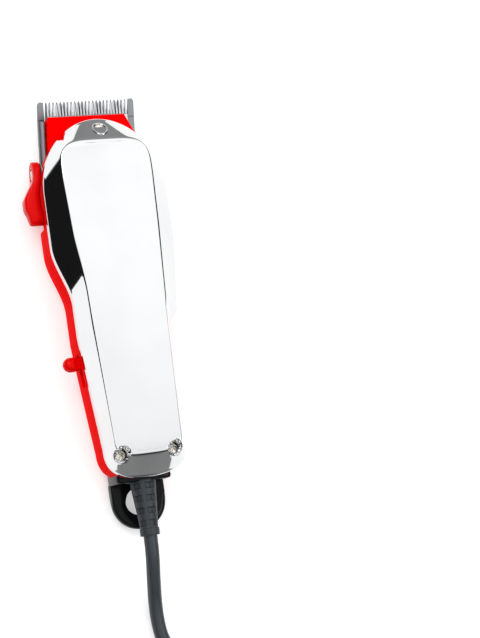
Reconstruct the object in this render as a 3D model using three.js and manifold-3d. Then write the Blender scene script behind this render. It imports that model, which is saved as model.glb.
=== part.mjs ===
// Corded hair clipper with a vibrating-armature motor, a taper lever and a free cord with a plug.
// Millimetres. X is to the right, +Y points at the blades, +Z is up. The clipper lies on its belly,
// and the origin is the middle of the flat belly face.
import * as THREE from 'three';
import { mergeVertices } from 'three/addons/utils/BufferGeometryUtils.js';
import Module from 'manifold-3d';

const wasm = await Module();
wasm.setup();

// ---------------------------------------------------------------- driving dimensions
const GAP = 0.3;                // clearance between pieces that touch
const SLIDE_GAP = 0.4;          // clearance beside a piece that slides or swings

// casing, seen from above
const BODY_HALF_WIDTH = 28.5;   // widest part, over the motor
const WAIST_HALF_WIDTH = 22;    // left side, behind the shoulder
const TAIL_HALF_LEFT = 17.6;
const TAIL_HALF_RIGHT = 20;
const STEP_HALF_WIDTH = 25.2;   // right side, in front of the step
const HEAD_ARC_Y = 46;          // where the sides turn into the head's arc
const HEAD_APEX_Y = 80;
const TAIL_ARC_Y = -70;         // where the sides turn into the tail's arc
const TAIL_END_Y = -84;
const SHOULDER_Y = [-5, 22];    // left shoulder, from waist to full width
const STEP_Y = [-19, -9.5];     // right step, from tail to motor bulge

// casing, seen from the side
const RIM_Z = 24;               // joint between cover and housing
const COVER_HEIGHT = 13;        // cover panel above the joint
const BELLY_FLAT_Y = [-45, 25]; // flat part of the belly
const HEAD_LIFT = 5;            // rise of the underside at the blades
const TAIL_LIFT = 2.4;          // rise of the underside at the tail
const HOUSING_WALL = 2.4;
const COVER_WALL = 1.5;

// blades
const BLADE_WIDTH = 46;
const BLADE_DEPTH = 29;
const BLADE_THICKNESS = 2.4;
const BLADE_TIP = [93, 15.5];   // y and z of the cutting edge
const BLADE_TILT = 20 * Math.PI / 180;
const FIXED_TEETH = 23;
const FIXED_END_TOOTH = 3.3;
const FIXED_TOOTH_LENGTH = 8.5;
const CUTTER_WIDTH = 38.6;
const CUTTER_TEETH = 27;
const CUTTER_TOOTH_LENGTH = 5.6;
const CUTTER_FRONT = 1.2;       // cutter tips behind the fixed tips
const CUTTER_DEPTH = 15.6;
const CUTTER_THICKNESS = 2.2;
const CUTTER_STROKE = 1.25;     // to each side
const CARRIER_THICKNESS = 3.5;
const BLADE_TRAVEL = 2.2;        // forward travel of the fixed blade and its carrier

// head deck of the housing
const DECK_FRONT_Y = 83;
const DECK_THICKNESS = 3.5;
const DECK_REAR_Y = 62;
const HEAD_WALL = 1.6;

// taper lever
const PIVOT_Y = 59;
const PIVOT_Z = 13;
const PIVOT_RADIUS = 3;
const ECCENTRICITY = 4.5;
const ECCENTRIC_PIN_RADIUS = 1.8;
const LEVER_REACH = 24;         // pivot to the end of the finger rest
const LEVER_RECESS = 3.5;       // depth of the casing's recess behind the lever
const WASHER_THICKNESS = 0.6;

// motor
const ARM_X = -7;               // middle of the arm beside the core
const ARM_THICKNESS = 4;
const HINGE_Y = -20;            // middle of the leaf that the arm swings on
const STACK_HEIGHT = 14;        // height of the laminated stacks
const STACK_Z = 10.5;            // their underside
const CORE_Y = [-6, 38];
const CORE_LEG = 6;
const CORE_MIDDLE_LEG = 8;
const CORE_BACK = 7;
const POLE_GAP = 1.3;
const COIL_WALL = 7.6;          // depth of winding around the middle leg
const BOBBIN_FLANGE = 1;

// side controls
const SWITCH_Y = -30;
const SWITCH_TRAVEL = 6.5;      // towards the tail
const SWITCH_NECK = 6;
const SWITCH_SLOT_HEIGHT = 4.6;
const SWITCH_DEPTH = 4;
const POWER_SCREW_Y = 52;
const POWER_SCREW_Z = 17;
const POWER_SCREW_RADIUS = 2;
const POWER_SCREW_HEAD = { radius: 3.6, height: 2.2 };
const POWER_SCREW_REACH = 10.1;  // from its head to the tip that meets the spring
const SPRING_RADIUS = 3.2;
const SPRING_WIRE = 0.45;

// fasteners: shank radius, head radius, head height
const COVER_SCREW = { shank: 1.5, head: 2.85, height: 1.9 };
const SMALL_SCREW = { shank: 1.3, head: 2.5, height: 1.5 };
const TAIL_SCREW_X = 12;
const TAIL_SCREW_Y = TAIL_END_Y + 10.5;
const HEAD_SCREW_Y = HEAD_APEX_Y - 6.2;
const COVER_SCREW_SEAT = 5.2;   // screw seat above the joint
const TAIL_WELL_RADIUS = 4.2;
const BOSS_WALL = 0.9;
const HEAD_WELL_RADIUS = 3.5;
const TAIL_POST_RADIUS = 4.6;
const CORE_POST_RADIUS = 3.4;
const CLAMP_Y = [-66, -60];
const CLAMP_HALF_WIDTH = 9;
const CLAMP_SCREW_X = 6.3;

// cord, its exit and its plug
const CORD_RADIUS = 3.1;
const RELIEF_RADIUS = 5.8;
const RELIEF_END_RADIUS = 4;
const RELIEF_COLLAR = 0.4;      // how far the end collar stands out
const RELIEF_FLANGE_RADIUS = 7;
const RELIEF_LENGTH = 25;
const RELIEF_NECK = 4.8;
const CORD_Z = RIM_Z - 6;
const LOOP_HALF_WIDTH = 12.5;
const LOOP_LENGTH = 21.3;
const LOOP_HOLE = 6;
const LOOP_Z = [2.8, 9];
const COIL_CENTRE = [2.3, -215.9];
const COIL_RADII = [21.8, 50.6];
const COIL_Z = [0.9, 13.4];
const TIE_ANGLE = 150 * Math.PI / 180;
const TIE_WIDTH = 5;
const TIE_THICKNESS = 0.6;
const CORD_ROUTE = [
  [0, -118, 16.8],
  [0.3, -128, 12.2],
  [0.9, -138, 7],
  [1.5, -147, 4.6],
  [2.9, -155.2, 4.1],
  [6.7, -162.6, 4.1],
];
const CORD_END_ROUTE = [
  [46.1, -229.4, 16.9],
  [40.1, -236.6, 17.2],
  [31.9, -241.3, 19.2],
  [22.7, -242.9, 21.3],
];
const PLUG_BODY = { width: 24, length: 26, thickness: 15, nose: 18 };
const PLUG_BLADE = { width: 6.3, length: 17.7, thickness: 1.5, pitch: 12.7 };

// ---------------------------------------------------------------- materials
const RED = { color: 0xdb0a10, roughness: 0.28, metalness: 0 };
const CHROME = { color: 0xe8eaec, roughness: 0.06, metalness: 1 };
const STEEL = { color: 0xb9bcc0, roughness: 0.32, metalness: 1 };
const NICKEL = { color: 0xc9c3b4, roughness: 0.25, metalness: 1 };
const BLACK = { color: 0x0c0d0f, roughness: 0.25, metalness: 0 };
const CHARCOAL = { color: 0x2a2f35, roughness: 0.55, metalness: 0 };
const COPPER = { color: 0xb4622c, roughness: 0.35, metalness: 0.9 };
const BRASS = { color: 0xc8a24a, roughness: 0.3, metalness: 1 };
const NYLON = { color: 0xe9e6dc, roughness: 0.5, metalness: 0 };
const LAMINATION = { color: 0x6d7075, roughness: 0.5, metalness: 0.9 };
const BROWN = { color: 0x5a2f18, roughness: 0.5, metalness: 0 };
const BLUE = { color: 0x1c56b0, roughness: 0.5, metalness: 0 };

// ---------------------------------------------------------------- helpers
function toSolid(geometry) {
  const bare = geometry.clone();
  bare.deleteAttribute('normal');
  bare.deleteAttribute('uv');
  const merged = mergeVertices(bare, 1e-4);
  return new wasm.Manifold(new wasm.Mesh({
    numProp: 3,
    vertProperties: new Float32Array(merged.attributes.position.array),
    triVerts: new Uint32Array(merged.index.array),
  }));
}

function toGeometry(solid) {
  const mesh = solid.getMesh();
  const geometry = new THREE.BufferGeometry();
  geometry.setAttribute('position', new THREE.BufferAttribute(mesh.vertProperties, 3));
  geometry.setIndex(new THREE.BufferAttribute(mesh.triVerts, 1));
  geometry.computeVertexNormals();
  return geometry;
}

function union(solids) {
  return solids.reduce((whole, next) => whole.add(next));
}

function cut(solid, tools) {
  return tools.reduce((whole, tool) => whole.subtract(tool), solid);
}

function block([x0, x1], [y0, y1], [z0, z1]) {
  const geometry = new THREE.BoxGeometry(x1 - x0, y1 - y0, z1 - z0);
  geometry.translate((x0 + x1) / 2, (y0 + y1) / 2, (z0 + z1) / 2);
  return toSolid(geometry);
}

// Round bar between two points.
function rod(radius, from, to, sides = 16) {
  const start = new THREE.Vector3(...from);
  const end = new THREE.Vector3(...to);
  const geometry = new THREE.CylinderGeometry(radius, radius, start.distanceTo(end), sides);
  const turn = new THREE.Quaternion().setFromUnitVectors(
    new THREE.Vector3(0, 1, 0), end.clone().sub(start).normalize());
  geometry.applyQuaternion(turn);
  geometry.translate(...start.add(end).multiplyScalar(0.5).toArray());
  return toSolid(geometry);
}

function ball(radius, centre) {
  const geometry = new THREE.SphereGeometry(radius, 16, 10);
  geometry.translate(...centre);
  return toSolid(geometry);
}

// Flat outline in X and Y, raised along Z.
function plate(points, [z0, z1], holes = []) {
  const shape = new THREE.Shape(points.map(([x, y]) => new THREE.Vector2(x, y)));
  for (const hole of holes) {
    shape.holes.push(new THREE.Path(hole.map(([x, y]) => new THREE.Vector2(x, y))));
  }
  const geometry = new THREE.ExtrudeGeometry(shape, { depth: z1 - z0, bevelEnabled: false });
  geometry.translate(0, 0, z0);
  return toSolid(geometry);
}

// Flat outline in Y and Z, raised along X.
function sidePlate(points, [x0, x1]) {
  const shape = new THREE.Shape(points.map(([y, z]) => new THREE.Vector2(y, z)));
  const geometry = new THREE.ExtrudeGeometry(shape, { depth: x1 - x0, bevelEnabled: false });
  geometry.applyMatrix4(new THREE.Matrix4().makeBasis(
    new THREE.Vector3(0, 1, 0), new THREE.Vector3(0, 0, 1), new THREE.Vector3(1, 0, 0)));
  geometry.translate(x0, 0, 0);
  return toSolid(geometry);
}

function arcPoints([cx, cy], radius, fromDegrees, toDegrees, steps) {
  return Array.from({ length: steps + 1 }, (_, i) => {
    const angle = (fromDegrees + (toDegrees - fromDegrees) * i / steps) * Math.PI / 180;
    return [cx + radius * Math.cos(angle), cy + radius * Math.sin(angle)];
  });
}

// Tube with round section along a smooth line.
function tube(points, radius, sides, steps) {
  const path = new THREE.CatmullRomCurve3(points.map((p) => new THREE.Vector3(...p)));
  const section = new THREE.Shape(
    arcPoints([0, 0], radius, 0, 360 - 360 / sides, sides - 1).map(([x, y]) => new THREE.Vector2(x, y)));
  const geometry = new THREE.ExtrudeGeometry(
    section, { steps, bevelEnabled: false, extrudePath: path });
  return toSolid(geometry);
}

// Body of revolution about a line along Y, from pairs of radius and y.
function turnedAlongY(profile, [x, z], sides = 16) {
  const geometry = new THREE.LatheGeometry(profile.map(([r, y]) => new THREE.Vector2(r, y)), sides);
  geometry.translate(x, 0, z);
  return toSolid(geometry);
}

const smooth = THREE.MathUtils.smoothstep;
const lerp = THREE.MathUtils.lerp;

// ---------------------------------------------------------------- casing outlines
function leftHalf(y) {
  const taper = Math.min((y - TAIL_ARC_Y) / 50, 1);
  const waist = lerp(TAIL_HALF_LEFT, WAIST_HALF_WIDTH, Math.max(taper, 0));
  return lerp(waist, BODY_HALF_WIDTH, smooth(y, ...SHOULDER_Y));
}

function rightHalf(y) {
  const bulge = lerp(TAIL_HALF_RIGHT, STEP_HALF_WIDTH, smooth(y, ...STEP_Y));
  const swell = THREE.MathUtils.clamp((y - STEP_Y[1]) / (SHOULDER_Y[1] - STEP_Y[1]), 0, 1);
  return bulge + (BODY_HALF_WIDTH - STEP_HALF_WIDTH) * swell;
}

const PANEL_FULL = { left: 20, right: 19.5, headY: 46, apexY: 66, tailY: -62, endY: -73 };

function panelHalf(y, full) {
  return y > 0 ? lerp(17, full, y / 60) : lerp(17, 14.6, -y / 75);
}

const SIDE_STATIONS = 23;
const ARC_STATIONS = 7;

// Closed outline through the same stations on both sides: from the tail's middle up the right side
// to the head's apex and back down the left side. Ends are superellipse arcs.
function outline({ left, right, headY, apexY, tailY, endY, headPower, tailPower }) {
  const side = (half) => {
    const points = [];
    for (let i = 0; i < ARC_STATIONS; i += 1) {
      const angle = (1 - i / ARC_STATIONS) * Math.PI / 2;
      points.push([half(tailY) * Math.cos(angle) ** (2 / tailPower),
        tailY + (endY - tailY) * Math.sin(angle) ** (2 / tailPower)]);
    }
    for (let i = 0; i <= SIDE_STATIONS; i += 1) {
      const y = lerp(tailY, headY, i / SIDE_STATIONS);
      points.push([half(y), y]);
    }
    for (let i = 1; i <= ARC_STATIONS; i += 1) {
      const angle = i / ARC_STATIONS * Math.PI / 2;
      points.push([half(headY) * Math.cos(angle) ** (2 / headPower),
        headY + (apexY - headY) * Math.sin(angle) ** (2 / headPower)]);
    }
    points[0][0] = 0;
    points[points.length - 1][0] = 0;
    return points;
  };
  const leftSide = side(left).map(([x, y]) => [-x, y]);
  return [...side(right), ...leftSide.slice(1, -1).reverse()];
}

function rimOutline(inset) {
  return outline({
    left: (y) => leftHalf(y) - inset,
    right: (y) => rightHalf(y) - inset,
    headY: HEAD_ARC_Y,
    apexY: HEAD_APEX_Y - inset,
    tailY: TAIL_ARC_Y,
    endY: TAIL_END_Y + inset,
    headPower: 2,
    tailPower: 2.6,
  });
}

function panelOutline(inset) {
  return outline({
    left: (y) => panelHalf(y, PANEL_FULL.left) - inset,
    right: (y) => panelHalf(y, PANEL_FULL.right) - inset,
    headY: PANEL_FULL.headY,
    apexY: PANEL_FULL.apexY - inset,
    tailY: PANEL_FULL.tailY,
    endY: PANEL_FULL.endY + inset,
    headPower: 5,
    tailPower: 4,
  });
}

// Crosswise strips that close an outline: its right stations are joined to the left ones.
function strips(count) {
  const triangles = [];
  for (let i = 0; i < count / 2; i += 1) {
    const left = (count - i) % count;
    triangles.push([left, i, i + 1], [left, i + 1, count - i - 1]);
  }
  return triangles.filter(([a, b, c]) => a !== b && b !== c && c !== a);
}

// Solid skinned over closed outlines that share their stations, the lowest first.
function loft(rings) {
  const count = rings[0].length;
  const index = [];
  for (let level = 0; level < rings.length - 1; level += 1) {
    for (let i = 0; i < count; i += 1) {
      const a = level * count + i;
      const b = level * count + (i + 1) % count;
      index.push(a, b, b + count, a, b + count, a + count);
    }
  }
  const top = (rings.length - 1) * count;
  for (const [a, b, c] of strips(count)) {
    index.push(a, c, b, top + a, top + b, top + c);
  }
  const geometry = new THREE.BufferGeometry();
  geometry.setAttribute('position', new THREE.BufferAttribute(new Float32Array(rings.flat(2)), 3));
  geometry.setIndex(index);
  return toSolid(geometry);
}

// Height of the underside at a station along the body.
function bellyZ(y) {
  const ahead = Math.max(y - BELLY_FLAT_Y[1], 0) / (BLADE_TIP[0] - BLADE_DEPTH - BELLY_FLAT_Y[1]);
  const behind = Math.max(BELLY_FLAT_Y[0] - y, 0) / (BELLY_FLAT_Y[0] - TAIL_END_Y);
  return HEAD_LIFT * ahead ** 2 + TAIL_LIFT * behind ** 2;
}

// Skin of the housing: a rounded belly that rises to upright sides. The inset makes the cavity.
const BELLY_PROFILE = [[0, 8.5], [0.5, 6.2], [2, 3.6], [4.5, 1.6], [8, 0.4], [12, 0]];

function housingSkin(inset, topZ) {
  const ring = (height, curl) => rimOutline(curl + inset).map(([x, y]) => {
    const base = bellyZ(y) + inset;
    return [x, y, base + height * (RIM_Z - base) / RIM_Z];
  });
  const last = rimOutline(inset).map(([x, y]) => [x, y, topZ]);
  return loft([...BELLY_PROFILE.map(([height, curl]) => ring(height, curl)), last]);
}

// Skin of the cover: an upright rim, then facets that lean in to the flat panel.
function coverSkin(inset, bottomZ) {
  const rim = rimOutline(inset);
  const panel = panelOutline(inset);
  const level = (z, lean) => rim.map(([x, y], i) => [
    lerp(x, panel[i][0], lean), lerp(y, panel[i][1], lean), z]);
  const top = RIM_Z + COVER_HEIGHT - inset;
  return loft([
    level(bottomZ, 0),
    level(RIM_Z + 2 - inset * 0.5, 0),
    level(RIM_Z + 3.4 - inset * 0.8, 0.22),
    level(top - 0.7, 0.94),
    level(top, 1),
  ]);
}

// ---------------------------------------------------------------- blade frame
// Points in the blade frame are x, distance behind the tips and height above the cutting plane.
const BLADE_BASIS = new THREE.Matrix4().makeBasis(
  new THREE.Vector3(1, 0, 0),
  new THREE.Vector3(0, -Math.cos(BLADE_TILT), -Math.sin(BLADE_TILT)),
  new THREE.Vector3(0, -Math.sin(BLADE_TILT), Math.cos(BLADE_TILT)),
).setPosition(0, ...BLADE_TIP);

// The frame is left-handed, so the triangles' corners are reordered to keep the faces outward.
function placeOnBlade(solid) {
  const geometry = toGeometry(solid);
  const index = geometry.index.array;
  for (let i = 0; i < index.length; i += 3) {
    [index[i], index[i + 1]] = [index[i + 1], index[i]];
  }
  geometry.applyMatrix4(BLADE_BASIS);
  return toSolid(geometry);
}

// World y and z of a point in the blade frame.
function bladePoint(behind, height) {
  const point = new THREE.Vector3(0, behind, height).applyMatrix4(BLADE_BASIS);
  return [point.y, point.z];
}

// ---------------------------------------------------------------- sizes worked out from the above
const HEAD_HALF = CUTTER_WIDTH / 2 + CUTTER_STROKE + SLIDE_GAP;   // inner half width of the head
const DECK_UNDER_Z = RIM_Z - GAP - DECK_THICKNESS;
const RECESS_X = -BODY_HALF_WIDTH + LEVER_RECESS;
const WALL_INSIDE_X = RECESS_X + HOUSING_WALL + 0.8;
const SWITCH_Z = RIM_Z - 5.7;
const SWITCH_WALL_X = -leftHalf(SWITCH_Y);
const SWITCH_SLOT_Y = [SWITCH_Y - SWITCH_NECK / 2 - SWITCH_TRAVEL - 1, SWITCH_Y + SWITCH_NECK / 2 + 1];
const CORE_RIGHT_X = rightHalf(CORE_Y[0]) - HOUSING_WALL - 0.6;
const POLE_X = ARM_X + ARM_THICKNESS / 2 + 5 + POLE_GAP;
const COIL_Y = (CORE_Y[0] + CORE_Y[1]) / 2;
const STACK_TOP_Z = STACK_Z + STACK_HEIGHT;
const CORE_SCREW_Y = [CORE_Y[0] + CORE_LEG / 2, CORE_Y[1] - CORE_LEG / 2];
const CORE_SCREW_X = CORE_RIGHT_X - CORE_BACK / 2;
const CORD_EXIT_Y = TAIL_END_Y - GAP - RELIEF_LENGTH;
const CLAMP_Z = [CORD_Z - CORD_RADIUS - 2, CORD_Z + CORD_RADIUS + 2];
const CLAMP_SCREW_Y = (CLAMP_Y[0] + CLAMP_Y[1]) / 2;
const BLADE_SCREW_X = 14;
const BLADE_SCREW_BEHIND = BLADE_DEPTH - 5;
const SLOT_IN_CUTTER = { halfWidth: 2.7, from: 9.3, to: 14.1 };

// ---------------------------------------------------------------- fasteners
// Pan-head screw with a cross recess, its head towards `up` (a unit direction along an axis or tilt).
function screw({ shank, head, height }, seat, up, length) {
  const at = (distance) => seat.map((value, i) => value + up[i] * distance);
  const side = Math.abs(up[0]) > 0.5 ? [0, 1, 0] : [1, 0, 0];
  const other = new THREE.Vector3(...up).cross(new THREE.Vector3(...side)).toArray();
  const body = rod(head, at(0), at(height), 16).add(rod(shank, at(-length), at(0.1), 8));
  const recess = [side, other].map((along) => {
    const basis = new THREE.Matrix4().makeBasis(
      new THREE.Vector3(...along),
      new THREE.Vector3(...up),
      new THREE.Vector3(...along).cross(new THREE.Vector3(...up)));
    const bar = new THREE.BoxGeometry(head * 1.15, height * 1.2, head * 0.28);
    bar.applyMatrix4(basis.setPosition(...at(height * 1.15)));
    return toSolid(bar);
  });
  return cut(body, recess);
}

// ---------------------------------------------------------------- housing
function headBlock() {
  const side = HEAD_HALF + HEAD_WALL;
  const underZ = bellyZ(DECK_REAR_Y - 6) + GAP;
  return plate([
    [-side, DECK_REAR_Y - 6], [side, DECK_REAR_Y - 6], [side, DECK_FRONT_Y - 14],
    [side - 4.2, DECK_FRONT_Y - 8], [side - 7.6, DECK_FRONT_Y], [-side + 3, DECK_FRONT_Y],
    [-side, DECK_FRONT_Y - 3],
  ], [underZ, RIM_Z - GAP]);
}

function motorCavity() {
  const hollow = housingSkin(HOUSING_WALL, RIM_Z + 5);
  const front = block([-60, 60], [DECK_REAR_Y - 1, 120], [-10, 60]);
  const leftKeep = block([-60, WALL_INSIDE_X], [PIVOT_Y - LEVER_REACH - 4, 120], [-10, 60]);
  return cut(hollow, [front, leftKeep]);
}

function bladeChamber() {
  const rear = block([-HEAD_HALF, HEAD_HALF], [PIVOT_Y - 5, BLADE_TIP[0] - BLADE_DEPTH * 0.9],
    [HEAD_LIFT + 0.6, DECK_UNDER_Z]);
  const above = placeOnBlade(block([-HEAD_HALF, HEAD_HALF], [-5, BLADE_DEPTH], [0, 40]));
  const under = block([-60, 60], [40, 120], [-20, DECK_UNDER_Z]);
  return rear.add(above.intersect(under));
}

function bladePocket() {
  const half = BLADE_WIDTH / 2 + 2;
  return placeOnBlade(block([-half, half], [-20, BLADE_DEPTH + 0.6], [-30, GAP]));
}

function leverRecess() {
  const rear = PIVOT_Y - LEVER_REACH - 2.5;
  return block([-60, RECESS_X], [rear, 120], [-10, RIM_Z - 2.2]);
}

function lowerHousing() {
  const shell = housingSkin(0, RIM_Z - GAP).add(headBlock());
  let housing = cut(shell, [motorCavity(), bladeChamber(), bladePocket(), leverRecess()]);
  const inside = housingSkin(0.6, RIM_Z - GAP);
  const posts = [
    ...[-TAIL_SCREW_X, TAIL_SCREW_X].map(
      (x) => rod(TAIL_POST_RADIUS, [x, TAIL_SCREW_Y, 0], [x, TAIL_SCREW_Y, RIM_Z - GAP], 20)),
    ...CORE_SCREW_Y.map(
      (y) => rod(CORE_POST_RADIUS, [CORE_SCREW_X, y, 0], [CORE_SCREW_X, y, STACK_Z - GAP])),
    block([ARM_X - 4, ARM_X + 9], [HINGE_Y - 12, HINGE_Y - 4], [1, 7.7]),
    block([-CLAMP_HALF_WIDTH, CLAMP_HALF_WIDTH], [CLAMP_Y[0] - 1, CLAMP_Y[1] + 1], [1, CLAMP_Z[0] - GAP]),
  ].map((post) => post.intersect(inside));
  housing = union([housing, ...posts]);
  const pilot = COVER_SCREW.shank + GAP;
  const small = SMALL_SCREW.shank + GAP;
  return cut(housing, [
    ...[-TAIL_SCREW_X, TAIL_SCREW_X].map(
      (x) => rod(pilot, [x, TAIL_SCREW_Y, 8], [x, TAIL_SCREW_Y, 40])),
    rod(pilot, [0, HEAD_SCREW_Y, DECK_UNDER_Z - 1], [0, HEAD_SCREW_Y, 40]),
    ...CORE_SCREW_Y.map((y) => rod(small, [CORE_SCREW_X, y, 4], [CORE_SCREW_X, y, 40], 12)),
    rod(small, [ARM_X + 7, HINGE_Y - 8, 2.5], [ARM_X + 7, HINGE_Y - 8, 20], 12),
    ...[-CLAMP_SCREW_X, CLAMP_SCREW_X].map(
      (x) => rod(small, [x, CLAMP_SCREW_Y, 3], [x, CLAMP_SCREW_Y, 30], 12)),
    rod(PIVOT_RADIUS + GAP, [-60, PIVOT_Y, PIVOT_Z], [-HEAD_HALF + 1, PIVOT_Y, PIVOT_Z], 20),
    rod(ECCENTRICITY + 2, [RECESS_X + 1.4, PIVOT_Y, PIVOT_Z], [-HEAD_HALF + 1, PIVOT_Y, PIVOT_Z], 24),
    block([-60, SWITCH_WALL_X + 6], SWITCH_SLOT_Y,
      [SWITCH_Z - SWITCH_SLOT_HEIGHT / 2, SWITCH_Z + SWITCH_SLOT_HEIGHT / 2]),
    rod(POWER_SCREW_RADIUS + GAP, [15, POWER_SCREW_Y, POWER_SCREW_Z], [60, POWER_SCREW_Y, POWER_SCREW_Z]),
    rod(RELIEF_NECK + GAP, [0, TAIL_END_Y - 5, CORD_Z], [0, TAIL_END_Y + 4, CORD_Z], 20),
    block([-RELIEF_NECK - GAP, RELIEF_NECK + GAP], [TAIL_END_Y - 5, TAIL_END_Y + 4], [CORD_Z, 60]),
    block([-8.3, 8.3], [TAIL_END_Y - 5, TAIL_END_Y + 7], [LOOP_Z[0] + 1.2, LOOP_Z[1] - 0.9]),
  ]);
}

// ---------------------------------------------------------------- cover
function topCover() {
  const outer = coverSkin(0, RIM_Z);
  const inner = coverSkin(COVER_WALL, RIM_Z - 1);
  const seatZ = RIM_Z + COVER_SCREW_SEAT;
  const bosses = union([
    ...[-TAIL_SCREW_X, TAIL_SCREW_X].map((x) => rod(TAIL_WELL_RADIUS + BOSS_WALL,
      [x, TAIL_SCREW_Y, RIM_Z], [x, TAIL_SCREW_Y, 60], 24)),
    rod(HEAD_WELL_RADIUS + BOSS_WALL, [0, HEAD_SCREW_Y, RIM_Z], [0, HEAD_SCREW_Y, 60], 24),
  ]).intersect(outer);
  const well = (x, y, radius) => [
    rod(radius, [x, y, seatZ], [x, y, 60], 24),
    rod(COVER_SCREW.shank + GAP, [x, y, RIM_Z - 5], [x, y, 60]),
  ];
  const notch = block([-60, -COVER_WALL - 12], [SWITCH_SLOT_Y[0] - 1, SWITCH_SLOT_Y[1] + 1],
    [RIM_Z - 1, RIM_Z + 1.2]);
  return cut(outer.subtract(inner).add(bosses), [
    ...well(-TAIL_SCREW_X, TAIL_SCREW_Y, TAIL_WELL_RADIUS),
    ...well(TAIL_SCREW_X, TAIL_SCREW_Y, TAIL_WELL_RADIUS),
    ...well(0, HEAD_SCREW_Y, HEAD_WELL_RADIUS),
    notch,
  ]);
}

function coverScrew(x, y, length) {
  return screw(COVER_SCREW, [x, y, RIM_Z + COVER_SCREW_SEAT + GAP], [0, 0, 1], length);
}

// ---------------------------------------------------------------- blades
// Comb of tapered teeth: corner points along the tips, right to left in the blade frame.
function teeth(fromX, toX, count, tip, length, tipShare, gullyShare) {
  const pitch = (toX - fromX) / count;
  return Array.from({ length: count }, (_, i) => {
    const middle = fromX + pitch * (i + 0.5);
    const root = tip + length;
    return [
      [middle - pitch * (1 - gullyShare) / 2, root],
      [middle - pitch * tipShare / 2, tip],
      [middle + pitch * tipShare / 2, tip],
      [middle + pitch * (1 - gullyShare) / 2, root],
    ];
  }).flat();
}

function fixedBlade() {
  const half = BLADE_WIDTH / 2;
  const inner = half - FIXED_END_TOOTH;
  const comb = teeth(-inner, inner, FIXED_TEETH, 0.4, FIXED_TOOTH_LENGTH, 0.42, 0.36);
  const contour = [
    [-half, BLADE_DEPTH], [-half, 1.2], [-half + 1.2, 0], [-inner - 0.3, 0.6],
    ...comb,
    [inner + 0.3, 0.6], [half - 1.2, 0], [half, 1.2], [half, BLADE_DEPTH],
  ];
  const slot = (x) => [
    ...arcPoints([x, BLADE_SCREW_BEHIND - 1], SMALL_SCREW.shank + GAP, 180, 360, 6),
    ...arcPoints([x, BLADE_SCREW_BEHIND + 1], SMALL_SCREW.shank + GAP, 0, 180, 6),
  ];
  return placeOnBlade(plate(contour, [-BLADE_THICKNESS, 0], [slot(-BLADE_SCREW_X), slot(BLADE_SCREW_X)]));
}

function movingBlade() {
  const half = CUTTER_WIDTH / 2;
  const rear = CUTTER_FRONT + CUTTER_DEPTH;
  const comb = teeth(-half, half, CUTTER_TEETH, CUTTER_FRONT, CUTTER_TOOTH_LENGTH, 0.4, 0.42);
  const contour = [[-half, rear], ...comb, [half, rear]];
  const slot = [
    [-SLOT_IN_CUTTER.halfWidth, SLOT_IN_CUTTER.from], [SLOT_IN_CUTTER.halfWidth, SLOT_IN_CUTTER.from],
    [SLOT_IN_CUTTER.halfWidth, SLOT_IN_CUTTER.to], [-SLOT_IN_CUTTER.halfWidth, SLOT_IN_CUTTER.to],
  ];
  return placeOnBlade(plate(contour, [GAP, GAP + CUTTER_THICKNESS], [slot]));
}

// Slide under the head that carries the fixed blade; its ear takes the lever's eccentric pin.
function bladeCarrier() {
  const half = HEAD_HALF - SLIDE_GAP;
  const front = CUTTER_FRONT + CUTTER_DEPTH + BLADE_TRAVEL + 2 * SLIDE_GAP;
  const bar = placeOnBlade(block([-half, half], [front, BLADE_DEPTH], [GAP, GAP + CARRIER_THICKNESS]));
  const [earFrontY] = bladePoint(front + 2, CARRIER_THICKNESS);
  const ear = block([-half, -half + 3.2], [PIVOT_Y - 4, earFrontY],
    [HEAD_LIFT + 1.2, PIVOT_Z - ECCENTRICITY + 4.6]);
  const pinZ = PIVOT_Z - ECCENTRICITY;
  const slotHalf = ECCENTRIC_PIN_RADIUS + GAP;
  const slot = block([-60, 0], [PIVOT_Y - slotHalf, PIVOT_Y + slotHalf],
    [pinZ - slotHalf - 0.1, pinZ + 3.1]);
  const floorCut = placeOnBlade(block([-60, 60], [-20, BLADE_DEPTH + 1], [-20, GAP]));
  const holes = [-1, 1].map((side) => placeOnBlade(rod(SMALL_SCREW.shank + GAP,
    [side * BLADE_SCREW_X, BLADE_SCREW_BEHIND, -20], [side * BLADE_SCREW_X, BLADE_SCREW_BEHIND, 20], 12)));
  return cut(bar.add(ear), [slot, floorCut, ...holes]);
}

function bladeScrew(side) {
  return placeOnBlade(screw(SMALL_SCREW,
    [side * BLADE_SCREW_X, BLADE_SCREW_BEHIND, -BLADE_THICKNESS - GAP], [0, 0, -1], 5));
}

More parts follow.
